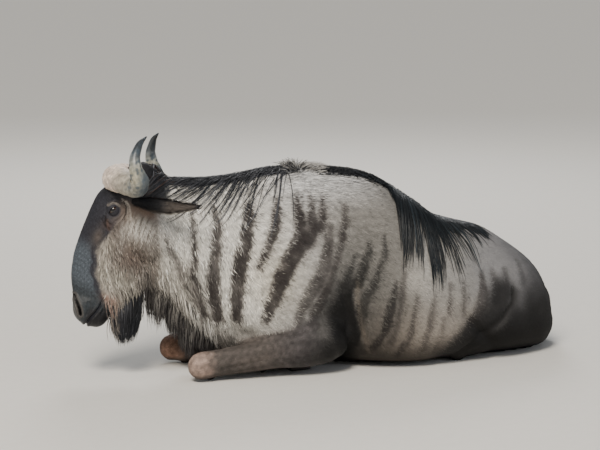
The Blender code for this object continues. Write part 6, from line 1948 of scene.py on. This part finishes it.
ear_paths, ear_across, ear_upward, ear_sizes, ear_shades = [np.concatenate(part) for part in zip(*ear_tufts)]
_, _, ear_places = nearest_on_skin(ear_paths[:, 0])
ear_widths = np.clip(ear_sizes * 0.16, 0.0010, 0.0020)[:, None] * np.array([0.9, 0.8])
ear_coat = blades(
    "coat_ears", ear_paths, ear_across, ear_upward, ear_widths, thickness=0.3, roundness=0.5,
    tones=ear_shades, patches=ear_places, material=coat_hair,
)

# Eyes: dark brown balls, wet and clear in front, with a wide oval pupil that lies level and a thin
# bluish ring where the iris ends. Tones are (distance from the middle of the pupil as a share of the
# ball's radius, colour).
EYE_TONES = (
    (0.0, "#0A0808"), (0.28, "#0B0908"), (0.34, "#2A1C12"), (0.62, "#332115"), (0.72, "#3A3B40"),
    (0.85, "#6E6660"), (1.0, "#8A7F76"),
)
PUPIL_ENDS = 0.34
PUPIL_STRETCH = 0.55
IRIS_FIBRE_MM = 10 / 9
wet_eye, shader = streaked_material(
    "wet_eye", roughness=0.12, streak_mm=IRIS_FIBRE_MM, detail=2.0, streaks=(0.0, 1.0), tones=(0.7, 1.3),
)
shader.inputs["Coat Weight"].default_value = 1.0
shader.inputs["Coat Roughness"].default_value = 0.03
shader.inputs["IOR"].default_value = 1.38
for side, label in ((-1, "right"), (1, "left")):
    centre = on_head((EYE_PLACE[0], EYE_PLACE[1] * side, EYE_PLACE[2]))
    axis = unit(np.array([EYE_AXIS[0], EYE_AXIS[1] * side, EYE_AXIS[2]]) @ HEAD_AXES)
    bm = bmesh.new()
    bmesh.ops.create_icosphere(bm, subdivisions=5, radius=EYE_RADIUS)
    bmesh.ops.translate(bm, verts=bm.verts, vec=tuple(centre))
    mesh = finished_mesh(bm, "eyeball_" + label)
    gaze = (coordinates(mesh) - centre) / EYE_RADIUS
    level = unit(np.array([EYE_SLIT_WAY[0], 0.0, EYE_SLIT_WAY[1]]) @ HEAD_AXES)
    facing = gaze @ axis
    off_axis = gaze - facing[:, None] * axis
    lengthwise = off_axis @ level
    off = np.linalg.norm(off_axis, axis=1)
    stretched = off - 0.10 * np.abs(lengthwise) / np.maximum(off, 1e-6) * PUPIL_STRETCH
    oval_off = np.where(facing > 0, np.where(off < PUPIL_ENDS, stretched, off), 1.0)
    set_tones(mesh, tone_curve(EYE_TONES)(np.clip(oval_off, 0, 1)))
    eye = smooth_piece("eyeball_" + label, mesh, wet_eye)
    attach(eye, "root")
    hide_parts("eye_" + label)

# Hooves: two pointed shells of dark keratin to a foot, flat below, with faint rings of growth, and a pair
# of small dewclaws behind each pastern. Sections are shares of the hoof's (length, width, height).
HOOF_LENGTH = 0.078
HOOF_WIDTH = 0.030
HOOF_HEIGHT = 0.046
HOOF_SPACING = 0.0324
HOOF_SECTIONS = (
    (0.0, 0.80, 0.90), (0.08, 0.90, 0.98), (0.3, 0.98, 1.0), (0.65, 0.82, 0.72), (0.90, 0.50, 0.38),
    (1.0, 0.12, 0.14),
)
HOOF_RING_MM = 3.0
HOOF_DARK = "#1F1C1B"
HOOF_LIGHT = "#4A423C"
DEWCLAW_RADIUS = 0.0085
DEWCLAW_STRETCH = 1.3
DEWCLAW_APART = 0.014
hoof_keratin, tree, shader = new_material("hoof_keratin")
place = add_node(tree, "ShaderNodeTexCoord", {}, {})
grown = add_node(
    tree, "ShaderNodeTexNoise", {},
    {"Vector": place.outputs["Object"], "Scale": 1000 / HOOF_RING_MM, "Detail": 3.0},
)
horny = add_node(
    tree, "ShaderNodeMix", {"data_type": "RGBA"},
    {"Factor": grown.outputs["Fac"], 6: opaque(HOOF_DARK), 7: opaque(HOOF_LIGHT)},
)
bump = add_node(
    tree, "ShaderNodeBump", {}, {"Height": grown.outputs["Fac"], "Strength": 0.3, "Distance": 0.0006},
)
tree.links.new(horny.outputs[2], shader.inputs["Base Color"])
tree.links.new(bump.outputs["Normal"], shader.inputs["Normal"])
shader.inputs["Roughness"].default_value = 0.42


def hoof_rings(pastern, from_middle):
    """Rings of one hoof on the end of a pastern, as a rounded arch over a flat sole."""
    end = np.array(pastern[-1][:3])
    way = end - np.array(pastern[-2][:3])
    way = unit((way[0], way[1], 0.0))
    across = np.array([-way[1], way[0], 0.0])
    across = across if across[1] * end[1] > 0 else -across
    start = end + way * pastern[-1][3] * 0.25 + across * from_middle * HOOF_SPACING / 2
    share, half, tall = along(HOOF_SECTIONS, per_span=5).T
    turn = np.linspace(0, math.pi, 15)
    u = np.sign(np.cos(turn)) * np.abs(np.cos(turn)) ** 0.7
    v = np.sin(turn) ** 0.75
    growth = 1 + 0.012 * np.sin(share * 34)
    places = start[None, None] + way * (HOOF_LENGTH * share)[:, None, None]
    places = places + across * (HOOF_WIDTH * half * growth / 2)[:, None, None] * u[None, :, None]
    upright = np.array([0.0, 0.0, 1.0]) * (HOOF_HEIGHT * tall * growth)[:, None, None] * v[None, :, None]
    places[..., 2] = 0.0
    return places + upright


for leg, label, pastern in (
    ("fore", "left", mirrored(FORE_PASTERN)), ("fore", "right", FORE_PASTERN),
    ("hind", "left", NEAR_PASTERN), ("hind", "right", FAR_PASTERN),
):
    for place_name, from_middle in (("inner", -1), ("outer", 1)):
        bm = bmesh.new()
        add_loft(bm, hoof_rings(pastern, from_middle))
        if place_name == "outer":
            joint = np.array(pastern[1][:3])
            back_way = unit(np.array(pastern[2][:3]) - np.array(pastern[0][:3]))
            sideways = np.array([-back_way[1], back_way[0], 0.0])
            for offset in (-DEWCLAW_APART, DEWCLAW_APART):
                claw = joint + sideways * offset + np.array([0.0, 0.0, 0.6 * pastern[1][3]])
                ball = bmesh.ops.create_icosphere(bm, subdivisions=2, radius=DEWCLAW_RADIUS)
                bmesh.ops.scale(bm, verts=ball["verts"], vec=(1.0, 1.0, DEWCLAW_STRETCH))
                bmesh.ops.translate(bm, verts=ball["verts"], vec=tuple(claw))
        bmesh.ops.recalc_face_normals(bm, faces=bm.faces)
        title = "_".join(("hoof", "shell", leg, label, place_name))
        hoof = smooth_piece(title, finished_mesh(bm, title), hoof_keratin)
        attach(hoof, "root")
        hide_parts("_".join(("hoof", leg, label, place_name)))
